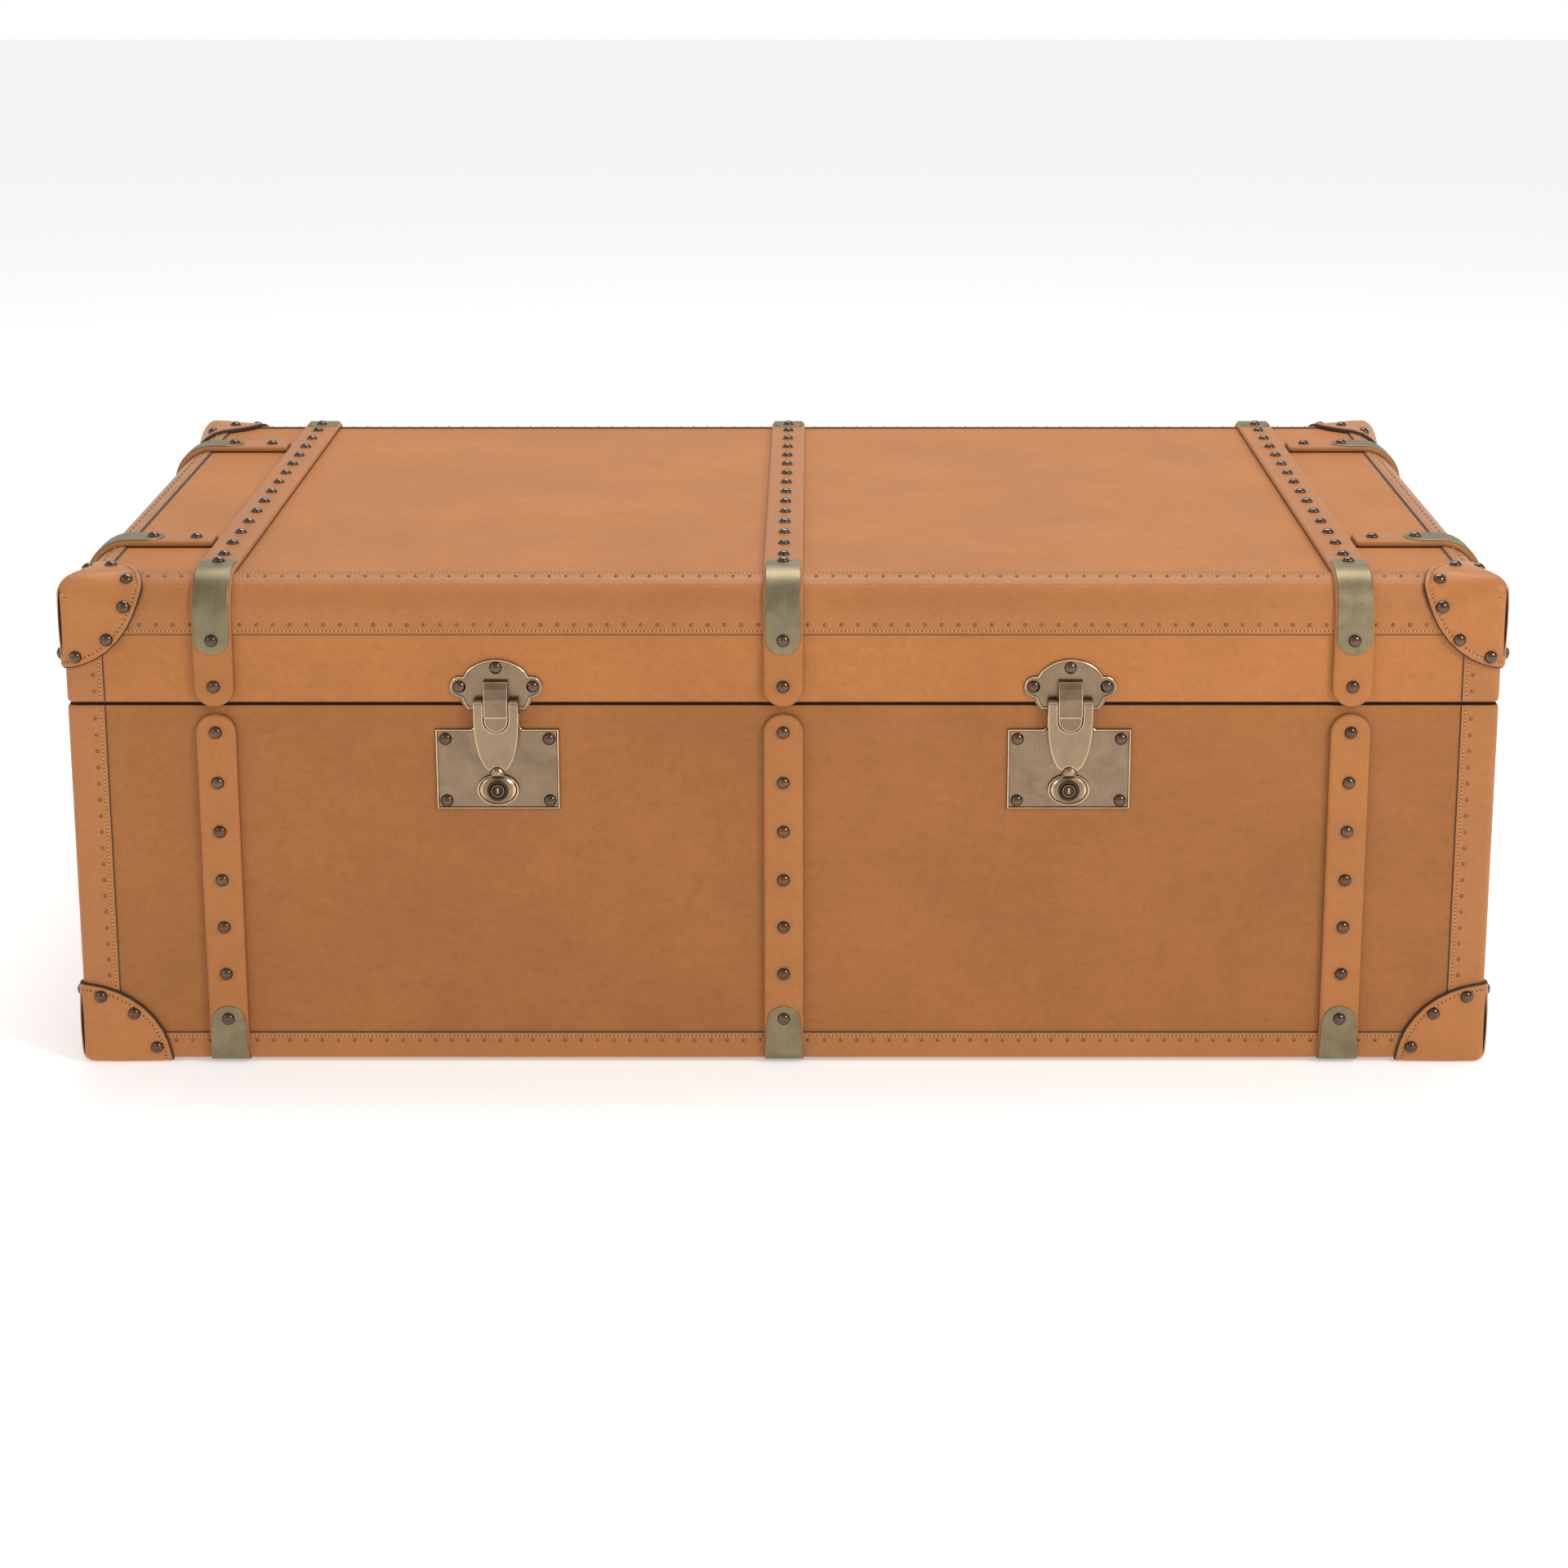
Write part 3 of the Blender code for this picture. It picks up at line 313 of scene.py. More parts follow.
# Colour in the panel, its share, its share in the patina, brushing along X, Y and Z, roughness, grime
BRASSES = {
    "lock_brass": ("lock_brass", 1.0, 0.72, (1, 1, 0.02), 0.34, 0.6),
    # lighter, shinier copy of the lock brass: painted highlight on raised rims and beads
    "lock_brass_bright": ("lock_brass", 2.3, 1.7, (1, 1, 1), 0.2, 0.35),
    # darker copy: the dark brass of the key ring, and painted shade on side walls, grooves and recesses
    "lock_brass_dark": ("lock_brass", 0.3, 0.16, (1, 1, 1), 0.5, 0.35),
    "hasp_brass": ("hasp_brass", 1.0, 0.82, (1, 1, 0.02), 0.32, 0.4),
    "fittings_brass": ("fittings", 1.0, 0.7, (1, 0.03, 0.03), 0.46, 0.7),
    "nail_brass": ("nails", 1.0, 0.5, (1, 1, 1), 0.13, 0.35),
    "tack_brass": ("tacks", 1.0, 0.7, (1, 1, 1), 0.35, 0.35),
}
# How each other finish is made, and its colour in the panel
OTHERS = {
    "raw_edge": (raw_edge, "raw_edge"),
    "thread": (thread_material, "thread"),
    "lining_cloth": (cloth, "lining"),
}
finishes_made = {}


def finish(name):
    """The named finish, made from the colours in the panel the first time it is asked for."""
    if name not in finishes_made:
        finishes_made[name] = make_finish(name, bpy.context.scene.trunk_colours)
    return finishes_made[name]


def make_finish(name, colours):
    if name in LEATHERS:
        share, *surface = LEATHERS[name]
        return leather(name, toned(colours.hide, share), *surface)
    if name in BRASSES:
        colour, share, dark, *surface = BRASSES[name]
        colour = getattr(colours, colour)
        made = metal(name, toned(colour, share), toned(colour, dark), *surface)
        return lacquered(made) if name == "nail_brass" else made
    if name == "pin_steel":
        return steel(name)
    maker, colour = OTHERS[name]
    return maker(name, tuple(getattr(colours, colour)))


# Shapes ----------------------------------------------------------------------------------------
def keep_piece(name, shape, finishes, body, stands_for=(), sharp=40):
    """The bmesh as a finished piece: faces out, smooth up to the sharp angle, riding on its body."""
    bmesh.ops.remove_doubles(shape, verts=shape.verts, dist=1e-6)
    bmesh.ops.recalc_face_normals(shape, faces=shape.faces)
    limit = math.radians(sharp)
    for edge in shape.edges:
        edge.smooth = len(edge.link_faces) == 2 and edge.calc_face_angle() < limit
    for face in shape.faces:
        face.smooth = not face.tag
    mesh = bpy.data.meshes.new(name)
    shape.to_mesh(mesh)
    shape.free()
    made = bpy.data.objects.new(name, mesh)
    bpy.context.scene.collection.objects.link(made)
    for item in finishes:
        mesh.materials.append(finish(item))
    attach(made, body)
    if stands_for:
        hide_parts(*stands_for)
    return made


def loft(shape, rows, closed=False, ends=False, surfaces=(), lanes=()):
    """Joins closed rows of points by faces. closed joins the last row to the first, ends fills the first and
    last rows. surfaces gives a finish number for each band between rows; lanes are the places along a row
    that take the second finish, in bands whose finish is not given."""
    made = [[shape.verts.new(point) for point in row] for row in rows]
    count = len(rows[0])
    for i in range(len(rows) if closed else len(rows) - 1):
        near, far = made[i], made[(i + 1) % len(rows)]
        for j in range(count):
            k = (j + 1) % count
            corners = []
            for vertex in (near[j], near[k], far[k], far[j]):
                if vertex not in corners:
                    corners.append(vertex)
            face = shape.faces.new(corners)
            face.material_index = 1 if j in lanes else 0
            if surfaces and surfaces[i] is not None:
                face.material_index = surfaces[i]
    if ends:
        for i, row in ((0, made[0]), (-1, made[-1])):
            face = shape.faces.new(row)
            face.tag = True
            if surfaces:
                face.material_index = surfaces[i]
    return made


def arc(centre, radius, start, end, steps):
    points = []
    for step in range(steps + 1):
        angle = math.radians(start + (end - start) * step / steps)
        points.append((centre[0] + radius * math.cos(angle), centre[1] + radius * math.sin(angle)))
    return points


INNER_ROUND = 0.0015  # upright corners inside the body
SUPPORT = 0.002  # keeps flat faces flat beside a rounded corner
BEND_STEPS = 20  # of a strap or sleeve over the lid's round edge
END_STEPS = 7  # of a strap's or sleeve's rounded end
END_DROP = 0.002  # how far from its end a strap is rubbed down
NARROWEST = 0.0012  # half width of the last row of a rounded end
NEAREST_EDGE = 0.0004  # least distance of a strap's edge from its middle
PATH_STEP = 0.02  # on the flat
END_GAP = 0.001  # between a rounded end and the next row


def ring(inset, height, steps=4):
    """One closed row round the body, at a distance in from the boards' faces, with rounded corners."""
    radius = max(CORNER_ROUND - inset, INNER_ROUND)
    row = []
    for side, end in CORNERS:
        turns = [(radius, -SUPPORT), *arc((0, 0), radius, 0, 90, steps), (-SUPPORT, radius)]
        for a, b in turns if side * end > 0 else reversed(turns):
            x = side * (HALF_X - inset - radius + a)
            row.append(Vector((x, end * (HALF_Y - inset - radius + b), height)))
    return row


def over_round(grow, steps=8):
    """(inset, height) points of the lid's rounded edge, from the face to the top."""
    return arc((LID_ROUND, ROUND_START), LID_ROUND + grow, 180, 90, steps)


def lid_path(near_z, inset_end):
    """Points up a lid face from near_z, over the round and along the top, as (inset, height, normal)."""
    path = []
    count = max(1, round((ROUND_START - near_z) / PATH_STEP))
    for i in range(count):
        path.append((0.0, near_z + (ROUND_START - near_z) * i / count, (-1.0, 0.0)))
    for i in range(BEND_STEPS + 1):
        angle = math.radians(180 - 90 * i / BEND_STEPS)
        normal = (math.cos(angle), math.sin(angle))
        path.append((LID_ROUND + LID_ROUND * normal[0], ROUND_START + LID_ROUND * normal[1], normal))
    count = max(1, round((inset_end - LID_ROUND) / PATH_STEP))
    for i in range(1, count + 1):
        path.append((LID_ROUND + (inset_end - LID_ROUND) * i / count, LID_TOP, (0.0, 1.0)))
    return path


def lengths(path):
    total, found = 0.0, [0.0]
    for here, there in zip(path, path[1:]):
        total += math.hypot(there[0] - here[0], there[1] - here[1])
        found.append(total)
    return found


def along(path, distance):
    """The point and normal at a distance along a path."""
    marks = lengths(path)
    distance = min(max(distance, 0.0), marks[-1])
    for i in range(len(path) - 1):
        if distance <= marks[i + 1] or i == len(path) - 2:
            span = marks[i + 1] - marks[i]
            share = (distance - marks[i]) / span if span else 0.0
            here, there = path[i], path[i + 1]
            normal = Vector(here[2]).lerp(Vector(there[2]), share).normalized()
            return (
                here[0] + (there[0] - here[0]) * share,
                here[1] + (there[1] - here[1]) * share,
                (normal.x, normal.y),
            )


def band(shape, path, place, half, section, ends):
    """A band along a path. section is a list of (share of the half width, inset from the edge, height);
    ends gives each end's corner radius, up to the half width."""
    total = lengths(path)[-1]
    stations = []
    for i in range(END_STEPS + 1):
        stations.append(ends[0] * (1 - math.cos(math.radians(90 * i / END_STEPS))))
    for mark in lengths(path):
        if ends[0] + END_GAP < mark < total - ends[1] - END_GAP:
            stations.append(mark)
    for i in range(END_STEPS, -1, -1):
        stations.append(total - ends[1] * (1 - math.cos(math.radians(90 * i / END_STEPS))))
    rows = []
    for station in stations:
        reach = half
        for radius, gap in ((ends[0], station), (ends[1], total - station)):
            if gap < radius:
                reach = min(reach, half - radius + math.sqrt(max(radius**2 - (radius - gap) ** 2, 0.0)))
        reach = max(reach, NARROWEST)
        inset, height, normal = along(path, station)
        gap = min(station, total - station)
        row = []
        for share, edge, lift in section:
            sag = edge_drop(gap, lift, section) if gap < END_DROP else lift
            across = share * max(reach - edge, NEAREST_EDGE)
            row.append(place(inset + normal[0] * sag, height + normal[1] * sag, across))
        rows.append(row)
    loft(shape, rows, ends=True, lanes=EDGE_AND_SHADE_LANES)


def edge_drop(gap, lift, section):
    """Rounds the end of a band over as its sides are."""
    low = min(item[2] for item in section)
    share = math.sqrt(max(0.0, 1 - (1 - gap / END_DROP) ** 2))
    return low + (lift - low) * (0.62 + 0.38 * share)


def across_lid(centre):
    """Puts (inset from the front, height, distance sideways) in place, for a strap from front to back."""
    return lambda inset, height, aside: Vector((centre + aside, -HALF_Y + inset, height))


def across_back(centre):
    return lambda inset, height, aside: Vector((centre + aside, HALF_Y - inset, height))


def across_side(side, centre):
    return lambda inset, height, aside: Vector((side * (HALF_X - inset), centre + aside, height))


EDGE_AND_SHADE_LANES = (0, 11, 12)  # lower half of both sides and the underside: on straps the dark cut edge with painted shadow along the foot, on brass painted shade


def rounded_section(low, high, roll, crown):
    """Cross-section of a strap: flat underneath, with rolled edges and a slight crown."""
    half = [(1, 0.0, low), (1, 0.0, low + (high - roll - low) * 0.45), (1, 0.0, high - roll)]
    half += [(1, roll * 0.3, high - roll * 0.35), (1, roll, high)]
    half += [(0.62, 0.0, high + crown * 0.7), (0.0, 0.0, high + crown)]
    return half + [(-share, edge, lift) for share, edge, lift in reversed(half[:-1])]


def on_front(centre):
    """Puts (sideways, up from the lid's rim, out) in place on the front, for a lock."""
    return lambda a, b, out: Vector((centre + a, -HALF_Y - out, LID_RIM + b))


def inset_outline(points, distance):
    """The outline drawn in by a distance; it runs anticlockwise."""
    moved = []
    count = len(points)
    for i in range(count):
        before, here, after = Vector(points[i - 1]), Vector(points[i]), Vector(points[(i + 1) % count])
        first = (here - before).normalized()
        second = (after - here).normalized()
        normal = Vector((-(first.y + second.y), first.x + second.x))
        normal.normalize()
        scale = distance / max(0.35, normal.dot(Vector((-first.y, first.x))))
        moved.append((here.x + normal.x * scale, here.y + normal.y * scale))
    return moved


TIGHT_ROUND = 0.012
TIGHTEN = 0.055  # how far from a corner the lid's round edge starts to tighten


def round_over(a, b, radius):
    """Distance outside two faces that meet in a round edge."""
    if min(a, b) <= -radius:
        return max(a, b)
    return math.hypot(a + radius, b + radius) - radius


def lid_distance(p):
    """Distance outside the lid, whose round edge tightens under the caps towards each corner."""
    along_x, along_y = abs(p[0]) - HALF_X, abs(p[1]) - HALF_Y
    side = round_over(along_x, along_y, CORNER_ROUND)
    share = min(max(-min(along_x, along_y) / TIGHTEN, 0.0), 1.0)
    share = share * share * (3 - 2 * share)
    return round_over(side, p[2] - LID_TOP, TIGHT_ROUND + (LID_ROUND - TIGHT_ROUND) * share)


def base_distance(p):
    side = round_over(abs(p[0]) - HALF_X, abs(p[1]) - HALF_Y, CORNER_ROUND)
    return round_over(side, UNDERSIDE - p[2], FOOT_ROUND)


def slope(distance, p):
    small = 1e-5
    found = []
    for axis in range(3):
        ahead, behind = list(p), list(p)
        ahead[axis] += small
        behind[axis] -= small
        found.append(distance(ahead) - distance(behind))
    return Vector(found).normalized()


def settle(distance, p, grow):
    """Moves a point on to the form at a height above the boards; returns it with the normal."""
    p = Vector(p)
    for _ in range(4):
        p -= slope(distance, p) * (distance(p) - grow)
    return p, slope(distance, p)


# Skins and bindings ----------------------------------------------------------------------------
def lid_skin():
    shape = bmesh.new()
    rim = LID_RIM + REBATE_HEIGHT
    outer = [(WALL, LID_RIM), (REBATE_DEPTH, LID_RIM), (REBATE_DEPTH, rim), (EDGE_ROLL - SKIN, rim)]
    outer += [(-SKIN, rim + EDGE_ROLL), (-SKIN, ROUND_START - 0.01), *over_round(SKIN)]
    outer.append((LID_ROUND + 0.01, LID_TOP + SKIN))
    rings = [ring(WALL, CEILING)] + [ring(inset, height) for inset, height in outer]
    # the rebate's back and ledge take the raw-edge finish as painted shade in the gap between lid and base
    surfaces = [0, 0, 1, 1] + [0] * (len(rings) - 4)
    loft(shape, rings, ends=True, surfaces=surfaces)
    boards = ["lid_top_board"] + [f"lid_{side}_board" for side in ("front", "back", "left", "right")]
    return keep_piece("lid_skin", shape, ("skin_leather", "raw_edge"), "lid", boards, 35)


def base_skin():
    shape = bmesh.new()
    rim = BASE_RIM - REBATE_HEIGHT
    outer = [(WALL, BASE_RIM), (REBATE_DEPTH, BASE_RIM), (REBATE_DEPTH, rim), (EDGE_ROLL - SKIN, rim)]
    outer += [(-SKIN, rim - EDGE_ROLL), (-SKIN, UNDERSIDE + FOOT_ROUND)]
    outer += [(FOOT_ROUND, UNDERSIDE - SKIN)]
    rings = [ring(WALL, FLOOR_TOP)] + [ring(inset, height) for inset, height in outer]
    # the rebate's back and ledge take the raw-edge finish as painted shade in the gap between lid and base
    surfaces = [0, 0, 1, 1] + [0] * (len(rings) - 4)
    loft(shape, rings, ends=True, surfaces=surfaces)
    boards = ["base_bottom_board"] + [f"base_{side}_board" for side in ("front", "back", "left", "right")]
    # the base's darker leather is painted shade
    return keep_piece("base_skin", shape, ("base_leather", "raw_edge"), "base", boards, 35)


BINDING_FINISHES = ("binding_leather", "raw_edge")


def lid_binding(shape):
    lower = LID_TOP - BINDING_DROP
    out, under = BINDING_FACE, BINDING_BACK
    profile = [(-under, lower), (SEAM_LIP / 3 - out, lower), (-out, lower + SEAM_LIP)]
    profile += [(-out, ROUND_START - 0.006), *over_round(out, 10)]
    slant = len(profile)
    end = LID_ROUND + 0.0022
    profile += [(end - TOP_LIP_AND_SHADOW, LID_TOP + out), (end, LID_TOP + SKIN + 0.0002), (end, LID_TOP + under)]
    profile += over_round(under, 10)[::-1]
    surfaces = [0] * len(profile)
    surfaces[0] = surfaces[1] = 1
    # the slant and end of the top edge take the raw-edge finish: the cut edge, and painted shadow in the gap
    # beside the top panel
    surfaces[slant] = surfaces[slant + 1] = 1
    loft(shape, [ring(inset, height, 6) for inset, height in profile], closed=True, surfaces=surfaces)


def foot_binding(shape):
    top = UNDERSIDE + FOOT_BINDING - BINDING_OUT
    out, under = BINDING_FACE, BINDING_BACK
    profile = [(-under, top), (SEAM_LIP / 3 - out, top), (-out, top - SEAM_LIP), (-out, UNDERSIDE + 0.002)]
    profile += arc((0.001, UNDERSIDE + 0.001), out + 0.001, 180, 270, 4)
    profile += [(FOOT_BINDING, UNDERSIDE - out), (FOOT_BINDING, UNDERSIDE - under), (0.0, UNDERSIDE - under)]
    surfaces = [1, 1] + [0] * (len(profile) - 2)
    loft(shape, [ring(inset, height, 6) for inset, height in profile], closed=True, surfaces=surfaces)


def corner_post(shape, side, end, low, high, soft_end):
    """An angle strip down one vertical corner; its soft end is rubbed round."""
    out, under, reach = BINDING_FACE, BINDING_BACK, BINDING_WIDTH
    outer = [(reach, -under), (reach, SEAM_LIP / 3 - out), (reach - SEAM_LIP, -out)]
    outer.append((CORNER_ROUND + SUPPORT, -out))
    outer += [(CORNER_ROUND - a, CORNER_ROUND - b) for a, b in arc((0, 0), CORNER_ROUND + out, 90, 0, 6)]
    outer.append((-out, CORNER_ROUND + SUPPORT))
    outer += [(-out, reach - SEAM_LIP), (SEAM_LIP / 3 - out, reach), (-under, reach)]
    inner = [(CORNER_ROUND - a, CORNER_ROUND - b) for a, b in arc((0, 0), CORNER_ROUND + under, 0, 90, 6)]
    rows = []
    if soft_end == "high":
        heights = [(low, 0.0), (high - 0.0035, 0.0), (high - 0.0012, 0.0005), (high, 0.0016)]
    else:
        heights = [(low, 0.0016), (low + 0.0012, 0.0005), (low + 0.0035, 0.0), (high, 0.0)]
    for height, shrink in heights:
        row = []
        for a, b in outer + inner:
            a, b = a + shrink * (a < 0), b + shrink * (b < 0)
            row.append(Vector((side * (HALF_X - a), end * (HALF_Y - b), height)))
        rows.append(row)
    last = len(outer) - 1
    loft(shape, rows, ends=True, lanes=(0, 1, last - 2, last - 1))


def edge_bindings():
    shape = bmesh.new()
    lid_binding(shape)
    for side, end in CORNERS:
        corner_post(shape, side, end, LID_RIM + REBATE_HEIGHT, LID_TOP - BINDING_DROP + 0.002, "low")
    keep_piece("lid_binding", shape, BINDING_FINISHES, "lid", ["lid_edge_binding"])
    shape = bmesh.new()
    foot_binding(shape)
    for side, end in CORNERS:
        low = UNDERSIDE + FOOT_BINDING - 0.006
        corner_post(shape, side, end, low, BASE_RIM - REBATE_HEIGHT, "high")
    keep_piece("base_binding", shape, BINDING_FINISHES, "base", ["base_edge_binding"])


# Corner caps -----------------------------------------------------------------------------------
CAP_ROWS = (0.05, 0.12, 0.2, 0.3, 0.4, 0.5, 0.6, 0.7, 0.79, 0.87, 0.905, 0.925, 0.945, 0.965, 0.985, 1.0)
CAP_GROOVE = 0.925  # where the stitches lie
CAP_STEPS = 14
CAP_PUFF = 0.0006
CAP_EDGE_FACE = CAP_OUT + 0.0002  # out from the boards, near the corner
SLIT_FROM, SLIT_TO, SLIT_HALF, SLIT_DEPTH = 0.16, 0.80, 0.0022, 0.0032
SLIT_CREASE = 0.0004  # half width where the slit is shut
SLIT_BEVEL = 0.0008
TURN_GAP = 0.004  # least turn between neighbours beside the slit
STITCH_AIM = 0.004  # turn to each side that gives a stitch its direction
# Sideways and down from the sharp corner, and lean, of the stitches that close the slit's top
SLIT_STITCHES = ((0.006, 0.016, 0.5), (0.010, 0.020, 0.5), (0.006, 0.026, -0.5))


def cap_place(side, end, up, spot, grow):
    """A point of a cap. spot is how far it is from the sharp corner along X, Y and Z."""
    level = LID_TOP + CAP_OUT if up > 0 else UNDERSIDE - CAP_OUT
    x = side * (HALF_X + CAP_OUT - spot[0])
    y = end * (HALF_Y + CAP_OUT - spot[1])
    point, normal = settle(lid_distance if up > 0 else base_distance, (x, y, level - up * spot[2]), grow)
    point.z = max(point.z, 0.0)
    return point, normal


def cap_spot(turn, share, reach):
    """Distances from the corner at a turn of 0 to 3 round it, a third of the way for each face."""
    face = min(int(turn), 2)
    angle = (turn - face) * math.pi / 2
    near, far = math.cos(angle) * share, math.sin(angle) * share
    if face == 0:
        return far * reach[0], 0.0, near * reach[2]
    if face == 1:
        return near * reach[0], far * reach[1], 0.0
    return 0.0, near * reach[1], far * reach[2]


def slit_turn(wide, row_reach):
    return min(0.9, math.asin(min(1.0, wide / row_reach)) * 2 / math.pi)


def cap_turns(share, reach):
    """Turns of one row, crowded towards the folds, with the slit's edges at the vertical one; and how open
    the slit is there, up to 1."""
    slit = 0.0
    if SLIT_FROM < share < SLIT_TO:
        slit = math.sin(math.pi * (share - SLIT_FROM) / (SLIT_TO - SLIT_FROM)) ** 0.7
    half = SLIT_CREASE + SLIT_HALF * slit
    edges = (half, half + SLIT_BEVEL)
    first, last = ([slit_turn(wide, share * size) for wide in edges] for size in reach[:2])
    start = max(first[1], last[1]) * 1.15
    turns = [0.0, *first]
    count = 3 * CAP_STEPS - 1
    for i in range(count):
        face, step = divmod(i + 1, CAP_STEPS)
        turn = face + 0.5 - 0.5 * math.cos(math.pi * step / CAP_STEPS)
        if turn < 1:
            turn = max(turn, start + TURN_GAP * i)
        elif turn > 2:
            turn = min(turn, 3 - start - TURN_GAP * (count - 1 - i))
        turns.append(turn)
    return [*turns, 3 - last[1], 3 - last[0]], slit


def cap_lift(share):
    if share >= 0.999:
        return CAP_OUT - 0.0013
    if share > 0.98:
        return CAP_OUT - 0.0003
    if abs(share - CAP_GROOVE) < 0.003:
        return CAP_OUT - 0.0007
    return CAP_OUT + 0.0002 + CAP_PUFF * math.sin(math.pi * min(1.0, share / CAP_GROOVE)) ** 2


def corner_cap(side, end, up):
    reach = LID_REACH if up > 0 else BASE_REACH
    shape = bmesh.new()
    rows, slits = [], []
    for share in CAP_ROWS:
        turns, slit = cap_turns(share, reach)
        row = []
        for i, turn in enumerate(turns):
            deep = SLIT_DEPTH * min(1.0, 2 * slit) if i in (0, 1, len(turns) - 1) else 0.0
            row.append(cap_place(side, end, up, cap_spot(turn, share, reach), cap_lift(share) - deep)[0])
        rows.append(row)
        slits.append(slit)
    # from here turns are those of the last row, which the underside follows
    for share in (1.0, 0.8, 0.4):
        spots = [cap_spot(turn, share, reach) for turn in turns]
        rows.append([cap_place(side, end, up, spot, BINDING_OUT)[0] for spot in spots])
    # bands across the slit take the raw-edge finish in its lanes: the cut edges of the hide, and painted
    # shade in the gap between them
    surfaces = [None if near or far else 0 for near, far in zip(slits, slits[1:])]
    surfaces[-1] = 1
    surfaces += [1, 0, 0]
    count = len(turns)
    made = loft(shape, rows, surfaces=surfaces, lanes=(0, 1, count - 2, count - 1))
    for row, grow in ((made[0], CAP_EDGE_FACE), (made[-1], BINDING_OUT)):
        pole = shape.verts.new(cap_place(side, end, up, (0, 0, 0), grow)[0])
        for j in range(count):
            shape.faces.new((row[j], row[(j + 1) % count], pole))
    body = "lid" if up > 0 else "base"
    name = f"{body}_{FRONT_BACK[end]}_{LEFT_RIGHT[side]}_cap"
    return keep_piece(f"{name}_leather", shape, ("cap_leather", "raw_edge"), body, [name], 50)


def cap_nail_spots(up):
    """(X, Y, Z) distances of a cap's nails from the sharp corner."""
    if up > 0:
        spots = [(0.015, 0, 0.072), (0.043, 0, 0.0565), (0.059, 0, 0.027), (0.060, 0.013, 0)]
        spots += [(0, 0.015, 0.072), (0, 0.044, 0.0565), (0, 0.061, 0.027)]
        spots += [(0.041, 0.045, 0), (0.015, 0.056, 0)]
        return spots
    spots = [(0.021, 0, 0.064), (0.050, 0, 0.048), (0.069, 0, 0.016)]
    spots += [(0, 0.021, 0.064), (0, 0.048, 0.048), (0, 0.067, 0.016)]
    return spots


def cap_nails(up):
    places = []
    for side, end in CORNERS:
        for spot in cap_nail_spots(up):
            point, normal = cap_place(side, end, up, spot, CAP_OUT + 0.0001)
            places.append((point, normal, UP.cross(normal)))
    return places


def cap_stitches(up, pitch):
    places = []
    reach = LID_REACH if up > 0 else BASE_REACH
    span = math.pi / 2 * (reach[0] + reach[1]) / 2 * CAP_GROOVE
    count = int(span / pitch)
    for side, end in CORNERS:
        for face in range(3):
            for i in range(count):
                turn = face + (i + 0.5) / count
                (behind, _), (point, normal), (ahead, _) = (
                    cap_place(side, end, up, cap_spot(turn + shift, CAP_GROOVE, reach), CAP_OUT - 0.0005)
                    for shift in (-STITCH_AIM, 0.0, STITCH_AIM)
                )
                if up > 0 or normal.z >= -0.6:  # none under the foot
                    places.append((point, normal, ahead - behind))
        if up > 0:
            for on_end in (False, True):
                for across, down, lean in SLIT_STITCHES:
                    spot = (0, across, down) if on_end else (across, 0, down)
                    point, normal = cap_place(side, end, up, spot, CAP_EDGE_FACE)
                    places.append((point, normal, Vector((lean * side, lean * end, 1))))
    return places


# Straps and their brass ------------------------------------------------------------------------
STRAP_SECTION = rounded_section(STRAP_UNDER, STRAP_OUT, 0.0024, 0.0003)
SLEEVE_HALF = 0.0155
SLEEVE_LOW, SLEEVE_HIGH = STRAP_OUT - 0.0006, STRAP_OUT + 0.0013
SLEEVE_SECTION = rounded_section(SLEEVE_LOW, SLEEVE_HIGH, 0.0007, 0.0001)
SLEEVE_FROM = LID_RIM + 0.0507 - 0.0052  # rounded lower end
SLEEVE_REACH = 0.054  # in from the face, along the top
SIDE_SLEEVE_REACH = 0.062
LID_NAIL_Z = LID_RIM + 0.0167
SLEEVE_NAIL_Z = LID_RIM + 0.0585
SLEEVE_NAIL_INSET = 0.046
TOP_NAILS = 14
BASE_NAIL_STEPS = (0.310, 0.264, 0.219, 0.174, 0.130, 0.086)
BRACKET_TOP = 0.0555
BRACKET_NAIL_Z = 0.0437
BRACKET_FLARE, BRACKET_FLARE_LENGTH = 0.0022, 0.05  # wider at the foot, over this length
BRACKET_SINK = 0.0040  # how much closer to the boards it runs underneath
NAIL_RISE = 0.0003  # a nail stands on the crown of its strap


def strap_piece(name, path, place, body, ends):
    shape = bmesh.new()
    band(shape, path, place, STRAP_WIDTH / 2, STRAP_SECTION, ends)
    # the raw-edge slot takes the lower sides and underside: partly the cut edge, partly painted shadow along
    # the strap's foot
    keep_piece(f"{name}_leather", shape, ("strap_leather", "raw_edge"), body, [name], 50)


def all_straps():
    end_round = STRAP_WIDTH / 2 - 0.001
    back = lid_path(HINGE_TOP, HALF_Y)[-2::-1]
    over = lid_path(STRAP_FOOT, HALF_Y)
    over += [(2 * HALF_Y - inset, height, (-normal[0], normal[1])) for inset, height, normal in back]
    for name, x in STRAPS:
        strap_piece(f"lid_strap_{name}", over, across_lid(x), "lid", (end_round, end_round))
        base_strap(f"base_front_strap_{name}", across_lid(x), BASE_STRAP_TOP)
        base_strap(f"base_back_strap_{name}", across_back(x), BACK_STRAP_TOP)
    short = lid_path(STRAP_FOOT, HALF_X - abs(SIDE_STRAP_END))
    for side, end in CORNERS:
        title, place = f"{FRONT_BACK[end]}_{LEFT_RIGHT[side]}", across_side(side, end * SIDE_STRAP_Y)
        strap_piece(f"lid_side_strap_{title}", short, place, "lid", (end_round, 0.003))
        base_strap(f"base_side_strap_{title}", place, BASE_STRAP_TOP)


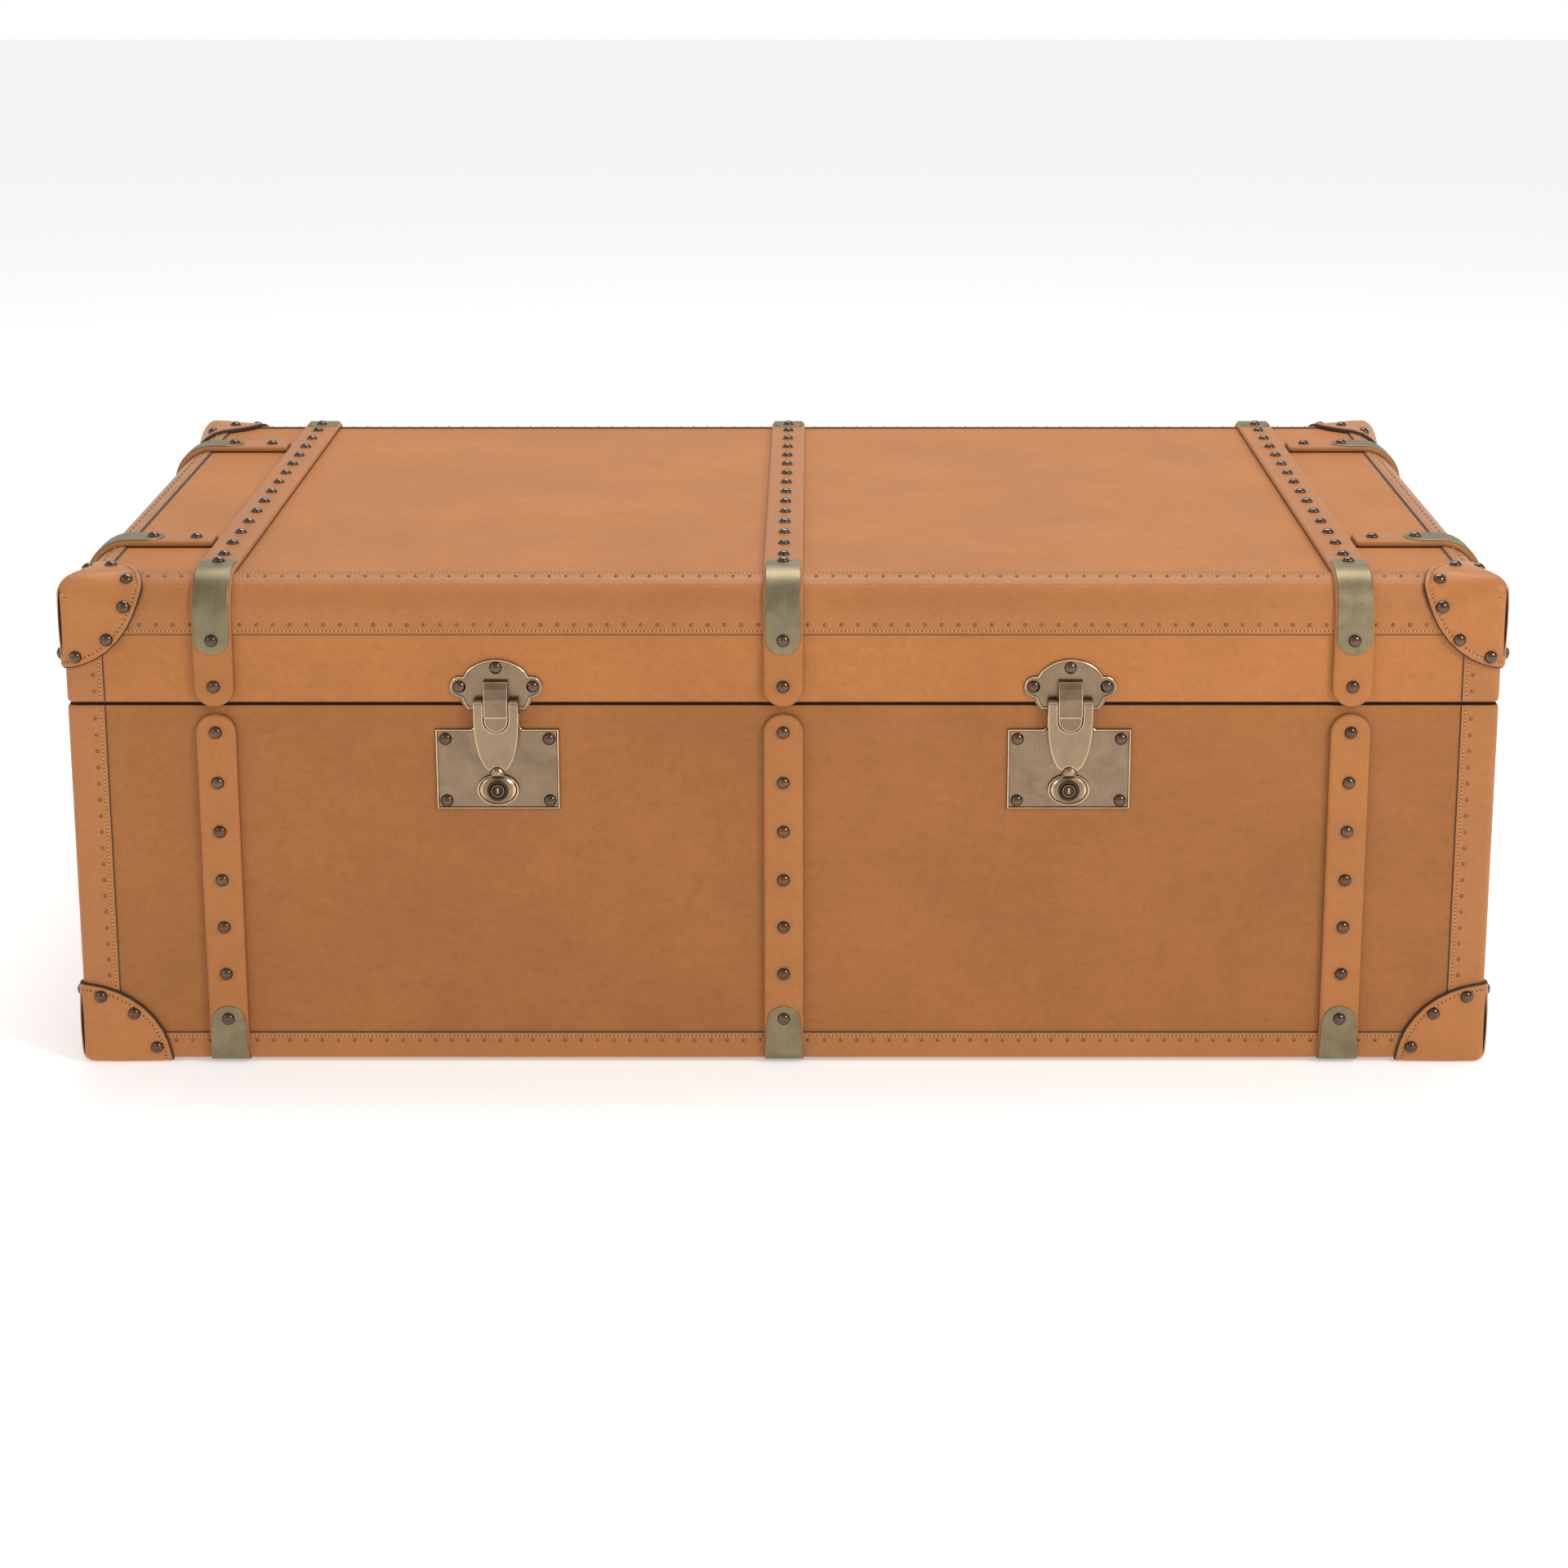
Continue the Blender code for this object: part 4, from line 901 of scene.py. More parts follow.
def base_strap(name, place, top):
    foot = UNDERSIDE + 0.001
    path = [(0.0, foot + (top - foot) * i / 12, (-1.0, 0.0)) for i in range(13)]
    strap_piece(name, path, place, "base", (0.002, STRAP_WIDTH / 2 - 0.001))


def strap_lines():
    """Where straps run down: (name, placing, top on the base)."""
    lines = []
    for name, x in STRAPS:
        lines.append((f"front_{name}", across_lid(x), BASE_STRAP_TOP))
        lines.append((f"back_{name}", across_back(x), BACK_STRAP_TOP))
    for side, end in CORNERS:
        title = f"side_{FRONT_BACK[end]}_{LEFT_RIGHT[side]}"
        lines.append((title, across_side(side, end * SIDE_STRAP_Y), BASE_STRAP_TOP))
    return lines


def sleeves():
    """Brass sleeves over the lid's edges and brackets round the base's foot, one piece for each body."""
    shape = bmesh.new()
    for name, place, _ in strap_lines():
        is_side = name.startswith("side")
        path = lid_path(SLEEVE_FROM, SIDE_SLEEVE_REACH if is_side else SLEEVE_REACH)
        ends = (SLEEVE_HALF - 0.0004, SLEEVE_HALF - 0.0004 if is_side else 0.009)
        band(shape, path, place, SLEEVE_HALF, SLEEVE_SECTION, ends)
    # the dark copy of lock brass on the sleeves' lower sides and undersides is painted shade
    keep_piece("lid_strap_sleeves", shape, ("fittings_brass", "lock_brass_dark"), "lid")
    shape = bmesh.new()
    for name, place, _ in strap_lines():
        path = [(0.0, BRACKET_TOP - 0.004 * i, (-1.0, 0.0)) for i in range(12)]
        for a, b in arc((0.004, UNDERSIDE + 0.004), 0.004, 180, 270, 4):
            normal = Vector((a - 0.004, b - UNDERSIDE - 0.004)).normalized()
            path.append((a, b, (normal.x, normal.y)))
        path.append((0.022, UNDERSIDE, (0.0, -1.0)))
        bracket_band(shape, path, place)
    # the dark copy of lock brass on the brackets' lower sides and undersides is painted shade
    keep_piece("base_strap_brackets", shape, ("fittings_brass", "lock_brass_dark"), "base")


def bracket_band(shape, path, place):
    """A strap bracket: rounded top, slightly wider foot, closer to the boards where it turns under."""
    marks = lengths(path)
    stations = [SLEEVE_HALF * (1 - math.cos(math.radians(90 * i / END_STEPS))) for i in range(END_STEPS + 1)]
    stations += [mark for mark in marks if mark > SLEEVE_HALF + END_GAP]
    section = rounded_section(STRAP_OUT - 0.0008, STRAP_OUT + 0.0012, 0.0007, 0.0001)
    rows = []
    for station in stations:
        inset, height, normal = along(path, station)
        reach = SLEEVE_HALF + BRACKET_FLARE * min(1.0, station / BRACKET_FLARE_LENGTH) ** 2
        if station < SLEEVE_HALF:
            reach = min(reach, math.sqrt(SLEEVE_HALF**2 - (SLEEVE_HALF - station) ** 2))
        reach = max(reach, NARROWEST)
        row = []
        for share, edge, lift in section:
            lift -= BRACKET_SINK * max(0.0, -normal[1])
            across = share * max(reach - edge, NEAREST_EDGE)
            row.append(place(inset + normal[0] * lift, height + normal[1] * lift, across))
        rows.append(row)
    loft(shape, rows, ends=True, lanes=EDGE_AND_SHADE_LANES)


def strap_nails():
    """Nails of the straps: those of the lid and those of the base, as (point, normal, along)."""
    lid, base = [], []
    on_top = LID_TOP + STRAP_OUT + NAIL_RISE
    for name, place, top in strap_lines():
        is_side = name.startswith("side")
        out = (place(-1.0, 0.0, 0.0) - place(0.0, 0.0, 0.0)).normalized()
        for height, lift in ((LID_NAIL_Z, STRAP_OUT), (SLEEVE_NAIL_Z, SLEEVE_HIGH)):
            if height > HINGE_TOP + 0.012 or not name.startswith("back"):
                lid.append((place(-lift - 0.0002, height, 0.0), out, UP))
        inset = SIDE_SLEEVE_REACH - 0.010 if is_side else SLEEVE_NAIL_INSET
        lid.append((place(inset, LID_TOP + SLEEVE_HIGH + 0.0001, 0.0), UP, out))
        if is_side:
            lid.append((place(HALF_X - abs(SIDE_STRAP_END) - 0.017, on_top, 0.0), UP, out))
        shift = top - BASE_STRAP_TOP
        for i, height in enumerate(BASE_NAIL_STEPS):
            moved = height + shift * (1 - i / (len(BASE_NAIL_STEPS) - 1))
            base.append((place(-STRAP_OUT - NAIL_RISE, moved, 0.0), out, UP))
        base.append((place(-STRAP_OUT - 0.0013, BRACKET_NAIL_Z, 0.0), out, UP))
    first, last = SLEEVE_REACH + 0.006, 2 * HALF_Y - SLEEVE_REACH - 0.006
    for _, x in STRAPS:
        for i in range(TOP_NAILS):
            inset = first + (last - first) * (i + 0.35) / (TOP_NAILS - 0.3)
            lid.append((Vector((x, inset - HALF_Y, on_top)), UP, ALONG_Y))
    return lid, base


# Hasp locks ------------------------------------------------------------------------------------
# The lock brass, its copy for painted highlight, and its dark copy for the key ring and painted shade
LOCK_FINISHES = ("lock_brass", "lock_brass_bright", "lock_brass_dark")
# Finish slots for the painted highlight and for the dark finish, which is dark brass and painted shade
PAINTED_HIGHLIGHT, DARK_BRASS_AND_SHADE = 1, 2
RIM_WIDTH = 0.0008
STRIKE_NAILS = ((0.0, 0.0326), (-0.032, 0.0156), (0.032, 0.0156))
LOCK_NAILS = ((-0.0455, -0.0320), (0.0455, -0.0320), (-0.0455, -0.0885), (0.0455, -0.0885))
OVAL_HALF = (0.0185, 0.0140)
OVAL_SIDES = 40
OVAL_Z = -0.0779  # below the lid's rim
RING_RADIUS = 0.0095
BEAD_WIDTH, BEAD_HEIGHT = 0.0016, 0.0010
STRIKE_TOP, ARCH_SPRING, ARCH_HALF = 0.0406, 0.0300, 0.0255
LOCK_HALF, LOCK_TOP, LOCK_BOTTOM = 0.0545, -0.0228, -0.0963
PLATE_BACK = 0.0003  # out from the boards
FLAT = 1e-5


def strike_outline():
    rise = STRIKE_TOP - ARCH_SPRING
    arch = (ARCH_HALF**2 + rise**2) / (2 * rise)
    spring = math.degrees(math.asin(ARCH_HALF / arch))
    right = [(0.0254, -0.0048), (0.0258, -0.0030), (0.0276, -0.0012), (0.0290, 0.0022), (0.0302, 0.0050)]
    right += arc((0.0310, 0.0156), 0.0097, -78, 104, 12)
    right += arc((0, STRIKE_TOP - arch), arch, 90 - spring, 90, 8)
    return right + [(-a, b) for a, b in reversed(right[:-1])]


def lock_outline():
    right = [(LOCK_HALF, LOCK_BOTTOM), (LOCK_HALF, LOCK_TOP)]
    right += [*arc((0.024, LOCK_TOP + 0.004), 0.004, 270, 180, 5), (0.020, -0.0075)]
    return right + [(-a, b) for a, b in reversed(right)]


def plaque(shape, outline, place):
    """A plate with rolled edges, a raised border and a shallow dished middle; the border's crown takes a
    painted highlight, its inner slope and the plate's rolled edge painted shade.
    """
    face = PLATE_OUT
    steps = ((0.0, PLATE_BACK), (0.0, face - 0.0006), (0.0002, face), (0.0006, face + BEAD_HEIGHT * 0.8))
    steps += ((0.0009, face + BEAD_HEIGHT), (0.0009 + BEAD_WIDTH * 0.5, face + BEAD_HEIGHT * 0.8))
    steps += ((0.0007 + BEAD_WIDTH, face), (0.0010 + BEAD_WIDTH, face - 0.0002))
    rows = [[place(a, b, out) for a, b in inset_outline(outline, inset)] for inset, out in steps]
    # painted shade on the rolled edge and the border's inner slope, painted highlight on its crown
    loft(shape, rows, ends=True, surfaces=[DARK_BRASS_AND_SHADE, DARK_BRASS_AND_SHADE, PAINTED_HIGHLIGHT, PAINTED_HIGHLIGHT, PAINTED_HIGHLIGHT, DARK_BRASS_AND_SHADE, 0, 0])


def copied(node_name):
    """A welded copy of a construction piece's shape, with its flat faces whole again."""
    shape = bmesh.new()
    shape.from_mesh(bpy.data.objects[node_name].data)
    bmesh.ops.remove_doubles(shape, verts=shape.verts, dist=2e-6)
    bmesh.ops.dissolve_limit(shape, angle_limit=math.radians(1.0), verts=shape.verts, edges=shape.edges)
    return shape


def rimmed(shape, far_out, steepest):
    """Gives the front faces of a lock's piece a rim of painted highlight, and its side walls painted shade.
    """
    for face in shape.faces:
        if abs(face.normal.y) < 0.3:
            face.material_index = DARK_BRASS_AND_SHADE
    front = []
    for face in shape.faces:
        clear = face.calc_center_median().y < -HALF_Y - far_out
        if clear and face.normal.y < -steepest and face.calc_area() > RIM_WIDTH**2 * 6:
            front.append(face)
    rims = bmesh.ops.inset_region(shape, faces=front, thickness=RIM_WIDTH, use_even_offset=True)
    for face in rims["faces"]:
        face.material_index = PAINTED_HIGHLIGHT
    return shape


def softened(name, node_name, finishes, body, width, shape=None):
    """A construction piece with its edges rubbed round; shape is its copy where that was changed."""
    made = keep_piece(name, shape or copied(node_name), finishes, body, [node_name], 30)
    rub_edges(made, width, 35)


def oval(place, half_width, half_height, out):
    turns = [2 * math.pi * i / OVAL_SIDES for i in range(OVAL_SIDES)]
    return [place(half_width * math.cos(turn), half_height * math.sin(turn) + OVAL_Z, out) for turn in turns]


def escutcheon(shape, place):
    """Oval boss with a grooved rim, rising to the round key housing."""
    low, top = PLATE_OUT - 0.0003, KEY_MOUTH
    # Share of the way from the housing to the oval's edge, height over low, finish of the band that follows
    # the rim's crown and inner slope take the painted highlight, its outer wall and groove painted shade
    boss = ((1.0, 0.0, DARK_BRASS_AND_SHADE), (1.0, 0.0028, PAINTED_HIGHLIGHT), (0.97, 0.0034, PAINTED_HIGHLIGHT), (0.86, 0.0035, PAINTED_HIGHLIGHT))
    boss += ((0.80, 0.0030, DARK_BRASS_AND_SHADE), (0.74, 0.0024, DARK_BRASS_AND_SHADE), (0.70, 0.0031, PAINTED_HIGHLIGHT), (0.45, 0.0044, 0))
    boss += ((0.12, 0.0052, 0), (0.0, 0.0053, 0))
    # Radius, depth below top, finish
    # the flat ring round the housing is the key ring's own dark brass; down the housing and into the hole the
    # dark finish is painted shade
    housing = ((RING_RADIUS, 0.0012, DARK_BRASS_AND_SHADE), (RING_RADIUS - 0.0007, 0.0004, DARK_BRASS_AND_SHADE), (0.0072, 0.0004, DARK_BRASS_AND_SHADE))
    housing += ((0.0066, 0.0016, DARK_BRASS_AND_SHADE), (0.0060, 0.0018, DARK_BRASS_AND_SHADE), (0.0057, 0.0, 0), (0.0049, 0.0, DARK_BRASS_AND_SHADE))
    housing += ((0.0046, 0.0006, DARK_BRASS_AND_SHADE), (0.0046, 0.005, DARK_BRASS_AND_SHADE))
    rows, surfaces = [], []
    for share, height, surface in boss:
        halves = [RING_RADIUS + (half - RING_RADIUS) * share for half in OVAL_HALF]
        rows.append(oval(place, *halves, low + height))
        surfaces.append(surface)
    for radius, depth, surface in housing:
        rows.append(oval(place, radius, radius, top - depth))
        surfaces.append(surface)
    loft(shape, rows, ends=True, surfaces=surfaces)


def hasp_locks():
    # the blade's rims take the painted highlight, its side walls painted shade
    blade = ("hasp_brass", "lock_brass_bright", "lock_brass_dark")
    for side in (-1, 1):
        name, place = LEFT_RIGHT[side], on_front(side * LATCH_X)
        strike, lock, hasp = f"strike_plate_{name}", f"lock_plate_{name}", f"hasp_{name}"
        shape = rimmed(copied(strike), PLATE_OUT + RIM_WIDTH, 0.6)
        plaque(shape, strike_outline(), place)
        made = keep_piece(f"strike_{name}", shape, LOCK_FINISHES, "lid", [strike], 30)
        rub_edges(made, 0.0005, 50)
        shape = bmesh.new()
        plaque(shape, lock_outline(), place)
        escutcheon(shape, place)
        keep_piece(f"lock_{name}", shape, LOCK_FINISHES, "base", [lock], 40)
        shape = rimmed(copied(hasp), PLATE_OUT, 0.95)
        softened(f"{hasp}_blade", hasp, blade, hasp, 0.0006, shape)
        softened(f"{hasp}_axle", f"hasp_pin_{name}", ["pin_steel"], "lid", 0.0003)
        key_plug(name)


def rub_edges(made, width, angle):
    bevel = made.modifiers.new("edges", "BEVEL")
    bevel.width = width
    bevel.segments = 3
    bevel.limit_method = "ANGLE"
    bevel.angle_limit = math.radians(angle)
    bevel.harden_normals = True


def key_plug(name):
    """The turning plug: faces set back inside its rim take a painted highlight, its front and sides the dark
    finish.
    """
    node_name = f"key_plug_{name}"
    low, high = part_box(node_name)
    middle, radius = (low + high) / 2, (high.x - low.x) / 2
    shape = copied(node_name)
    for face in shape.faces:
        spot = face.calc_center_median()
        inside = math.hypot(spot.x - middle.x, spot.z - middle.z) < radius * 0.9
        face.material_index = PAINTED_HIGHLIGHT if inside and spot.y > low.y + FLAT else DARK_BRASS_AND_SHADE
    softened(f"key_{name}_plug", node_name, LOCK_FINISHES, node_name, 0.0005, shape)


def lock_nails():
    lid, base = [], []
    for side in (-1, 1):
        place = on_front(side * LATCH_X)
        lid += [(place(a, b, PLATE_OUT - 0.0003), FORWARD, ALONG_X) for a, b in STRIKE_NAILS]
        base += [(place(a, b, PLATE_OUT - 0.0003), FORWARD, ALONG_X) for a, b in LOCK_NAILS]
    return lid, base


# Handles, hinge and stays ----------------------------------------------------------------------
GRIP_STEPS, GRIP_SIDES = 18, 24
GRIP_SEAM = {5: 1.04, 6: 1.10, 7: 1.04}  # how far the seam stands out, by side
GRIP_SEAM_RISE = 1.02
BRASS = ("fittings_brass",)


def grip(name):
    """The leather grip of an end handle: fuller in the middle, with a seam along its inner side."""
    low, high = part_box(f"handle_grip_{name}")
    middle = (low + high) / 2
    radius, half = (high.z - low.z) / 2 * 0.98, (high.y - low.y) / 2
    rows = []
    for i in range(GRIP_STEPS + 1):
        share = -1 + 2 * i / GRIP_STEPS
        swell = 0.80 + 0.20 * math.cos(share * math.pi / 2) ** 0.6
        if abs(share) > 0.9:
            swell *= 1 - 0.12 * ((abs(share) - 0.9) / 0.1) ** 2
        row = []
        for j in range(GRIP_SIDES):
            turn, seam = 2 * math.pi * j / GRIP_SIDES, GRIP_SEAM.get(j, 1.0)
            across, up = math.cos(turn) * seam, math.sin(turn) * min(seam, GRIP_SEAM_RISE)
            row.append(middle + Vector((radius * swell * across, half * share, radius * swell * up)))
        rows.append(row)
    shape = bmesh.new()
    loft(shape, rows, ends=True)
    stands_for = [f"handle_grip_{name}"]
    keep_piece(f"grip_{name}_leather", shape, ["grip_leather"], f"handle_{name}", stands_for)


def handles():
    for name in ("left", "right"):
        softened(f"handle_{name}_mount", f"handle_plate_{name}", BRASS, "base", 0.0012)
        bail = f"handle_bail_{name}"
        softened(f"handle_{name}_bail", bail, BRASS, f"handle_{name}", 0.0004)
        grip(name)


def handle_nails():
    places = []
    for side in (-1, 1):
        low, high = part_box(f"handle_plate_{LEFT_RIGHT[side]}")
        for y in (low.y + 0.009, high.y - 0.009):
            for z in (low.z + 0.010, high.z - 0.010):
                point = Vector((side * (HALF_X + PLATE_OUT - 0.0002), y, z))
                places.append((point, ALONG_X * side, UP))
    return places


def hinge_and_stays():
    softened("hinge_base_plate", "hinge_base_leaf", BRASS, "base", 0.0003)
    softened("hinge_lid_plate", "hinge_lid_leaf", BRASS, "lid", 0.0003)
    softened("hinge_rod", "hinge_pin", ["pin_steel"], "base", 0.0002)
    for name in ("left", "right"):
        softened(f"stay_{name}_arm", f"stay_arm_{name}", BRASS, "lid", 0.0005)
        softened(f"stay_{name}_guide", f"stay_guide_{name}", BRASS, "base", 0.0005)


HINGE_SCREWS = 18
SCREW_EDGE = 0.0045  # from a leaf's edge
SCREW_OUT = 0.0017


def hinge_screws():
    lid, base = [], []
    low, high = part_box("hinge_lid_leaf")
    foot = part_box("hinge_base_leaf")[0]
    for i in range(HINGE_SCREWS):
        x = low.x + (high.x - low.x) * (i + 0.5) / HINGE_SCREWS
        lid.append((Vector((x, HALF_Y + SCREW_OUT, high.z - SCREW_EDGE)), ALONG_Y, ALONG_X))
        base.append((Vector((x, HALF_Y + SCREW_OUT, foot.z + SCREW_EDGE)), ALONG_Y, ALONG_X))
    return lid, base


# Lining ----------------------------------------------------------------------------------------
def lining(name, body, edge, floor, inward):
    """Cloth pasted inside, as one thin shell: walls from the edge to the floor or ceiling, and that face."""
    wall = WALL + LINING
    places = ((WALL + 0.0002, floor + inward * 0.0002), (WALL + 0.0002, edge), (wall, edge - inward * 0.0004))
    places += ((wall, floor + inward * (LINING + 0.003)), (wall + 0.003, floor + inward * LINING))
    shape = bmesh.new()
    loft(shape, [ring(inset, height) for inset, height in places], ends=True)
    keep_piece(name, shape, ["lining_cloth"], body, (), 50)


def linings():
    lining("base_lining", "base", BASE_RIM - 0.012, FLOOR_TOP, 1)
    lining("lid_lining", "lid", LID_RIM + 0.012, CEILING, -1)


# Nails, tacks and stitches ---------------------------------------------------------------------
NAIL_SHAPE = {"Segments": 14, "Rings": 8, "Unevenness": 0.02, "Twist": 3.0}
TACK_SHAPE = {"Height": 0.0012, "Segments": 8, "Rings": 5, "Unevenness": 0.06, "Twist": 3.0}
# A dark eye of painted shade on each tack and screw head
SHADE_EYE_SHAPE = {"Length": 0.0014, "Width": 0.0014, "Height": 0.0003, "Segments": 6, "Rings": 3}
SHADE_EYE_RISE = 0.0011  # above a tack's foot
STITCH_SHAPE = {"Width": 0.0010, "Height": 0.0006, "Segments": 6, "Rings": 4}
STITCH_SHAPE |= {"Unevenness": 0.12, "Twist": 0.22}
# A dark dot of painted shade standing for each stitch hole
HOLE_SHADE_SHAPE = {"Length": 0.0013, "Width": 0.0013, "Height": 0.0002, "Segments": 5, "Rings": 3}
HOLE_SHADE_SHAPE |= {"Unevenness": 0.1, "Twist": 3.0}
CAP_PITCH = 1.15  # of the caps' stitches, as a share of the seams'


def carrier(name, places):
    """A mesh of loose points, each with the way it faces and the way it runs."""
    mesh = bpy.data.meshes.new(name)
    mesh.from_pydata([point for point, _, _ in places], [], [])
    for title, index in (("facing", 1), ("running", 2)):
        attribute = mesh.attributes.new(title, "FLOAT_VECTOR", "POINT")
        values = [channel for place in places for channel in Vector(place[index]).normalized()]
        attribute.data.foreach_set("vector", values)
    made = bpy.data.objects.new(name, mesh)
    bpy.context.scene.collection.objects.link(made)
    return made


def bead_tree():
    """Sets a flat-bottomed dome on every point: long, wide and high as given, turned as the points say."""
    tree = bpy.data.node_groups.new("set_beads", "GeometryNodeTree")
    sockets = [("Geometry", "Geometry")]
    sockets += [(title, "Float") for title in ("Length", "Width", "Height", "Unevenness", "Twist")]
    sockets += [(title, "Int") for title in ("Segments", "Rings", "Seed")]
    for title, kind in (*sockets, ("Material", "Material")):
        tree.interface.new_socket(title, in_out="INPUT", socket_type=f"NodeSocket{kind}")
    tree.interface.new_socket("Geometry", in_out="OUTPUT", socket_type="NodeSocketGeometry")
    given = tree.nodes.new("NodeGroupInput").outputs

    def maths(operation, first, second):
        return node(tree, "ShaderNodeMath", {0: first, 1: second}, operation=operation).outputs[0]

    def random_value(least, most):
        inputs = {2: least, 3: most, "Seed": given["Seed"]}
        return node(tree, "FunctionNodeRandomValue", inputs, data_type="FLOAT").outputs[1]

    inputs = {"Radius": 1.0, "Segments": given["Segments"], "Rings": given["Rings"]}
    ball = node(tree, "GeometryNodeMeshUVSphere", inputs)
    place = node(tree, "GeometryNodeInputPosition").outputs[0]
    parts = node(tree, "ShaderNodeSeparateXYZ", {0: place}).outputs
    inputs = {0: parts[0], 1: parts[1], 2: maths("MAXIMUM", parts[2], -0.15)}
    dome_shape = node(tree, "ShaderNodeCombineXYZ", inputs).outputs[0]
    dome = node(tree, "GeometryNodeSetPosition", {"Geometry": ball.outputs["Mesh"], "Position": dome_shape})

    turn = (0.0, 0.0, 0.0)
    for title, axis, pivot in (("facing", "Z", "AUTO"), ("running", "X", "Z")):
        way = node(tree, "GeometryNodeInputNamedAttribute", {"Name": title}, data_type="FLOAT_VECTOR")
        inputs = {"Rotation": turn, "Vector": way.outputs["Attribute"]}
        turn = node(tree, "FunctionNodeAlignEulerToVector", inputs, axis=axis, pivot_axis=pivot).outputs[0]
    wobble = random_value(maths("MULTIPLY", given["Twist"], -1.0), given["Twist"])
    about = node(tree, "ShaderNodeCombineXYZ", {2: wobble}).outputs[0]
    inputs = {"Rotation": turn, "Rotate By": about}
    turn = node(tree, "FunctionNodeRotateEuler", inputs, space="LOCAL").outputs[0]

    halves = [maths("MULTIPLY", given[title], 0.5) for title in ("Length", "Width")]
    size = node(tree, "ShaderNodeCombineXYZ", {0: halves[0], 1: halves[1], 2: given["Height"]}).outputs[0]
    least, most = maths("SUBTRACT", 1.0, given["Unevenness"]), maths("ADD", 1.0, given["Unevenness"])
    inputs = {0: size, "Scale": random_value(least, most)}
    size = node(tree, "ShaderNodeVectorMath", inputs, operation="SCALE").outputs[0]

    inputs = {"Points": given["Geometry"], "Instance": dome.outputs[0], "Rotation": turn, "Scale": size}
    put = node(tree, "GeometryNodeInstanceOnPoints", inputs)
    real = node(tree, "GeometryNodeRealizeInstances", {0: put.outputs[0]})
    smooth = node(tree, "GeometryNodeSetShadeSmooth", {"Geometry": real.outputs[0]})
    inputs = {"Geometry": smooth.outputs[0], "Material": given["Material"]}
    dressed = node(tree, "GeometryNodeSetMaterial", inputs)
    tree.links.new(dressed.outputs[0], tree.nodes.new("NodeGroupOutput").inputs[0])
    return tree


def set_beads(name, places, body, slot, finish_name, **sizes):
    """Makes one piece of all the beads of a kind on a body."""
    tree = bpy.data.node_groups.get("set_beads") or bead_tree()
    held = carrier(f"{name}_points", places)
    modifier = held.modifiers.new("beads", "NODES")
    modifier.node_group = tree
    sockets = {item.name: item.identifier for item in tree.interface.items_tree if item.in_out == "INPUT"}
    for title, value in {**sizes, "Material": finish(finish_name)}.items():
        modifier[sockets[title]] = value
    bpy.context.view_layer.update()
    graph = bpy.context.evaluated_depsgraph_get()
    mesh = bpy.data.meshes.new_from_object(held.evaluated_get(graph), depsgraph=graph)
    mesh.name = name
    bpy.data.objects.remove(held)
    for title in ("facing", "running"):
        if mesh.attributes.get(title):
            mesh.attributes.remove(mesh.attributes[title])
    made = bpy.data.objects.new(name, mesh)
    bpy.context.scene.collection.objects.link(made)
    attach(made, body)
    return made


def line_round(inset, height, out, up, pitch):
    """Places at a pitch round the body. out and up are the shares of the way they face, out from the boards
    and up; a line that faces up at all is shortened by its inset."""
    places = []
    walks = ((ALONG_X, ALONG_Y, HALF_X, HALF_Y), (ALONG_Y, ALONG_X, HALF_Y, HALF_X))
    for running, across, half, depth in walks:
        length = 2 * (half - inset * (up != 0))
        count = int(length / pitch)
        for sign in (-1, 1):
            for i in range(count):
                run = (i + 0.5 - count / 2) * length / count
                point = running * run + across * sign * (depth - inset) + UP * height
                if not covered(point, height > BASE_RIM):
                    places.append((point, (across * sign * out + UP * up).normalized(), running))
    return places


def covered(point, on_lid):
    """True under a strap or a corner cap."""
    gap = STRAP_WIDTH / 2 + 0.0005
    if abs(point.y) > HALF_Y - 0.05 and min(abs(point.x - x) for _, x in STRAPS) < gap:
        return True
    if abs(point.x) > HALF_X - 0.05 and abs(abs(point.y) - SIDE_STRAP_Y) < gap:
        return True
    reach = LID_REACH if on_lid else BASE_REACH
    level = LID_TOP + CAP_OUT if on_lid else UNDERSIDE - CAP_OUT
    away = (HALF_X + CAP_OUT - abs(point.x), HALF_Y + CAP_OUT - abs(point.y), abs(level - point.z))
    return sum((distance / size) ** 2 for distance, size in zip(away, reach)) < 1.0


def post_lines(low, high, from_edge, pitch, on_lid):
    """Places down the corner strips, at a distance from their inner edges."""
    places = []
    count = int((high - low) / pitch)
    reach = BINDING_WIDTH - from_edge
    for side, end in CORNERS:
        for i in range(count):
            height = low + (high - low) * (i + 0.5) / count
            front = Vector((side * (HALF_X - reach), end * (HALF_Y + SEAM_OUT), height))
            flank = Vector((side * (HALF_X + SEAM_OUT), end * (HALF_Y - reach), height))
            for point, facing in ((front, ALONG_Y * end), (flank, ALONG_X * side)):
                if not covered(point, on_lid):
                    places.append((point, facing, UP))
    return places


SEAM_OUT = BINDING_OUT + 0.0002
# Distances from the bindings' edges: the lid's lower, the lid's upper, the foot's, the corner strips'
TACK_SEAMS = (0.0090, 0.0095, 0.0078, 0.0090)
STITCH_SEAMS = (0.0035, 0.0035, 0.0035, 0.0040)


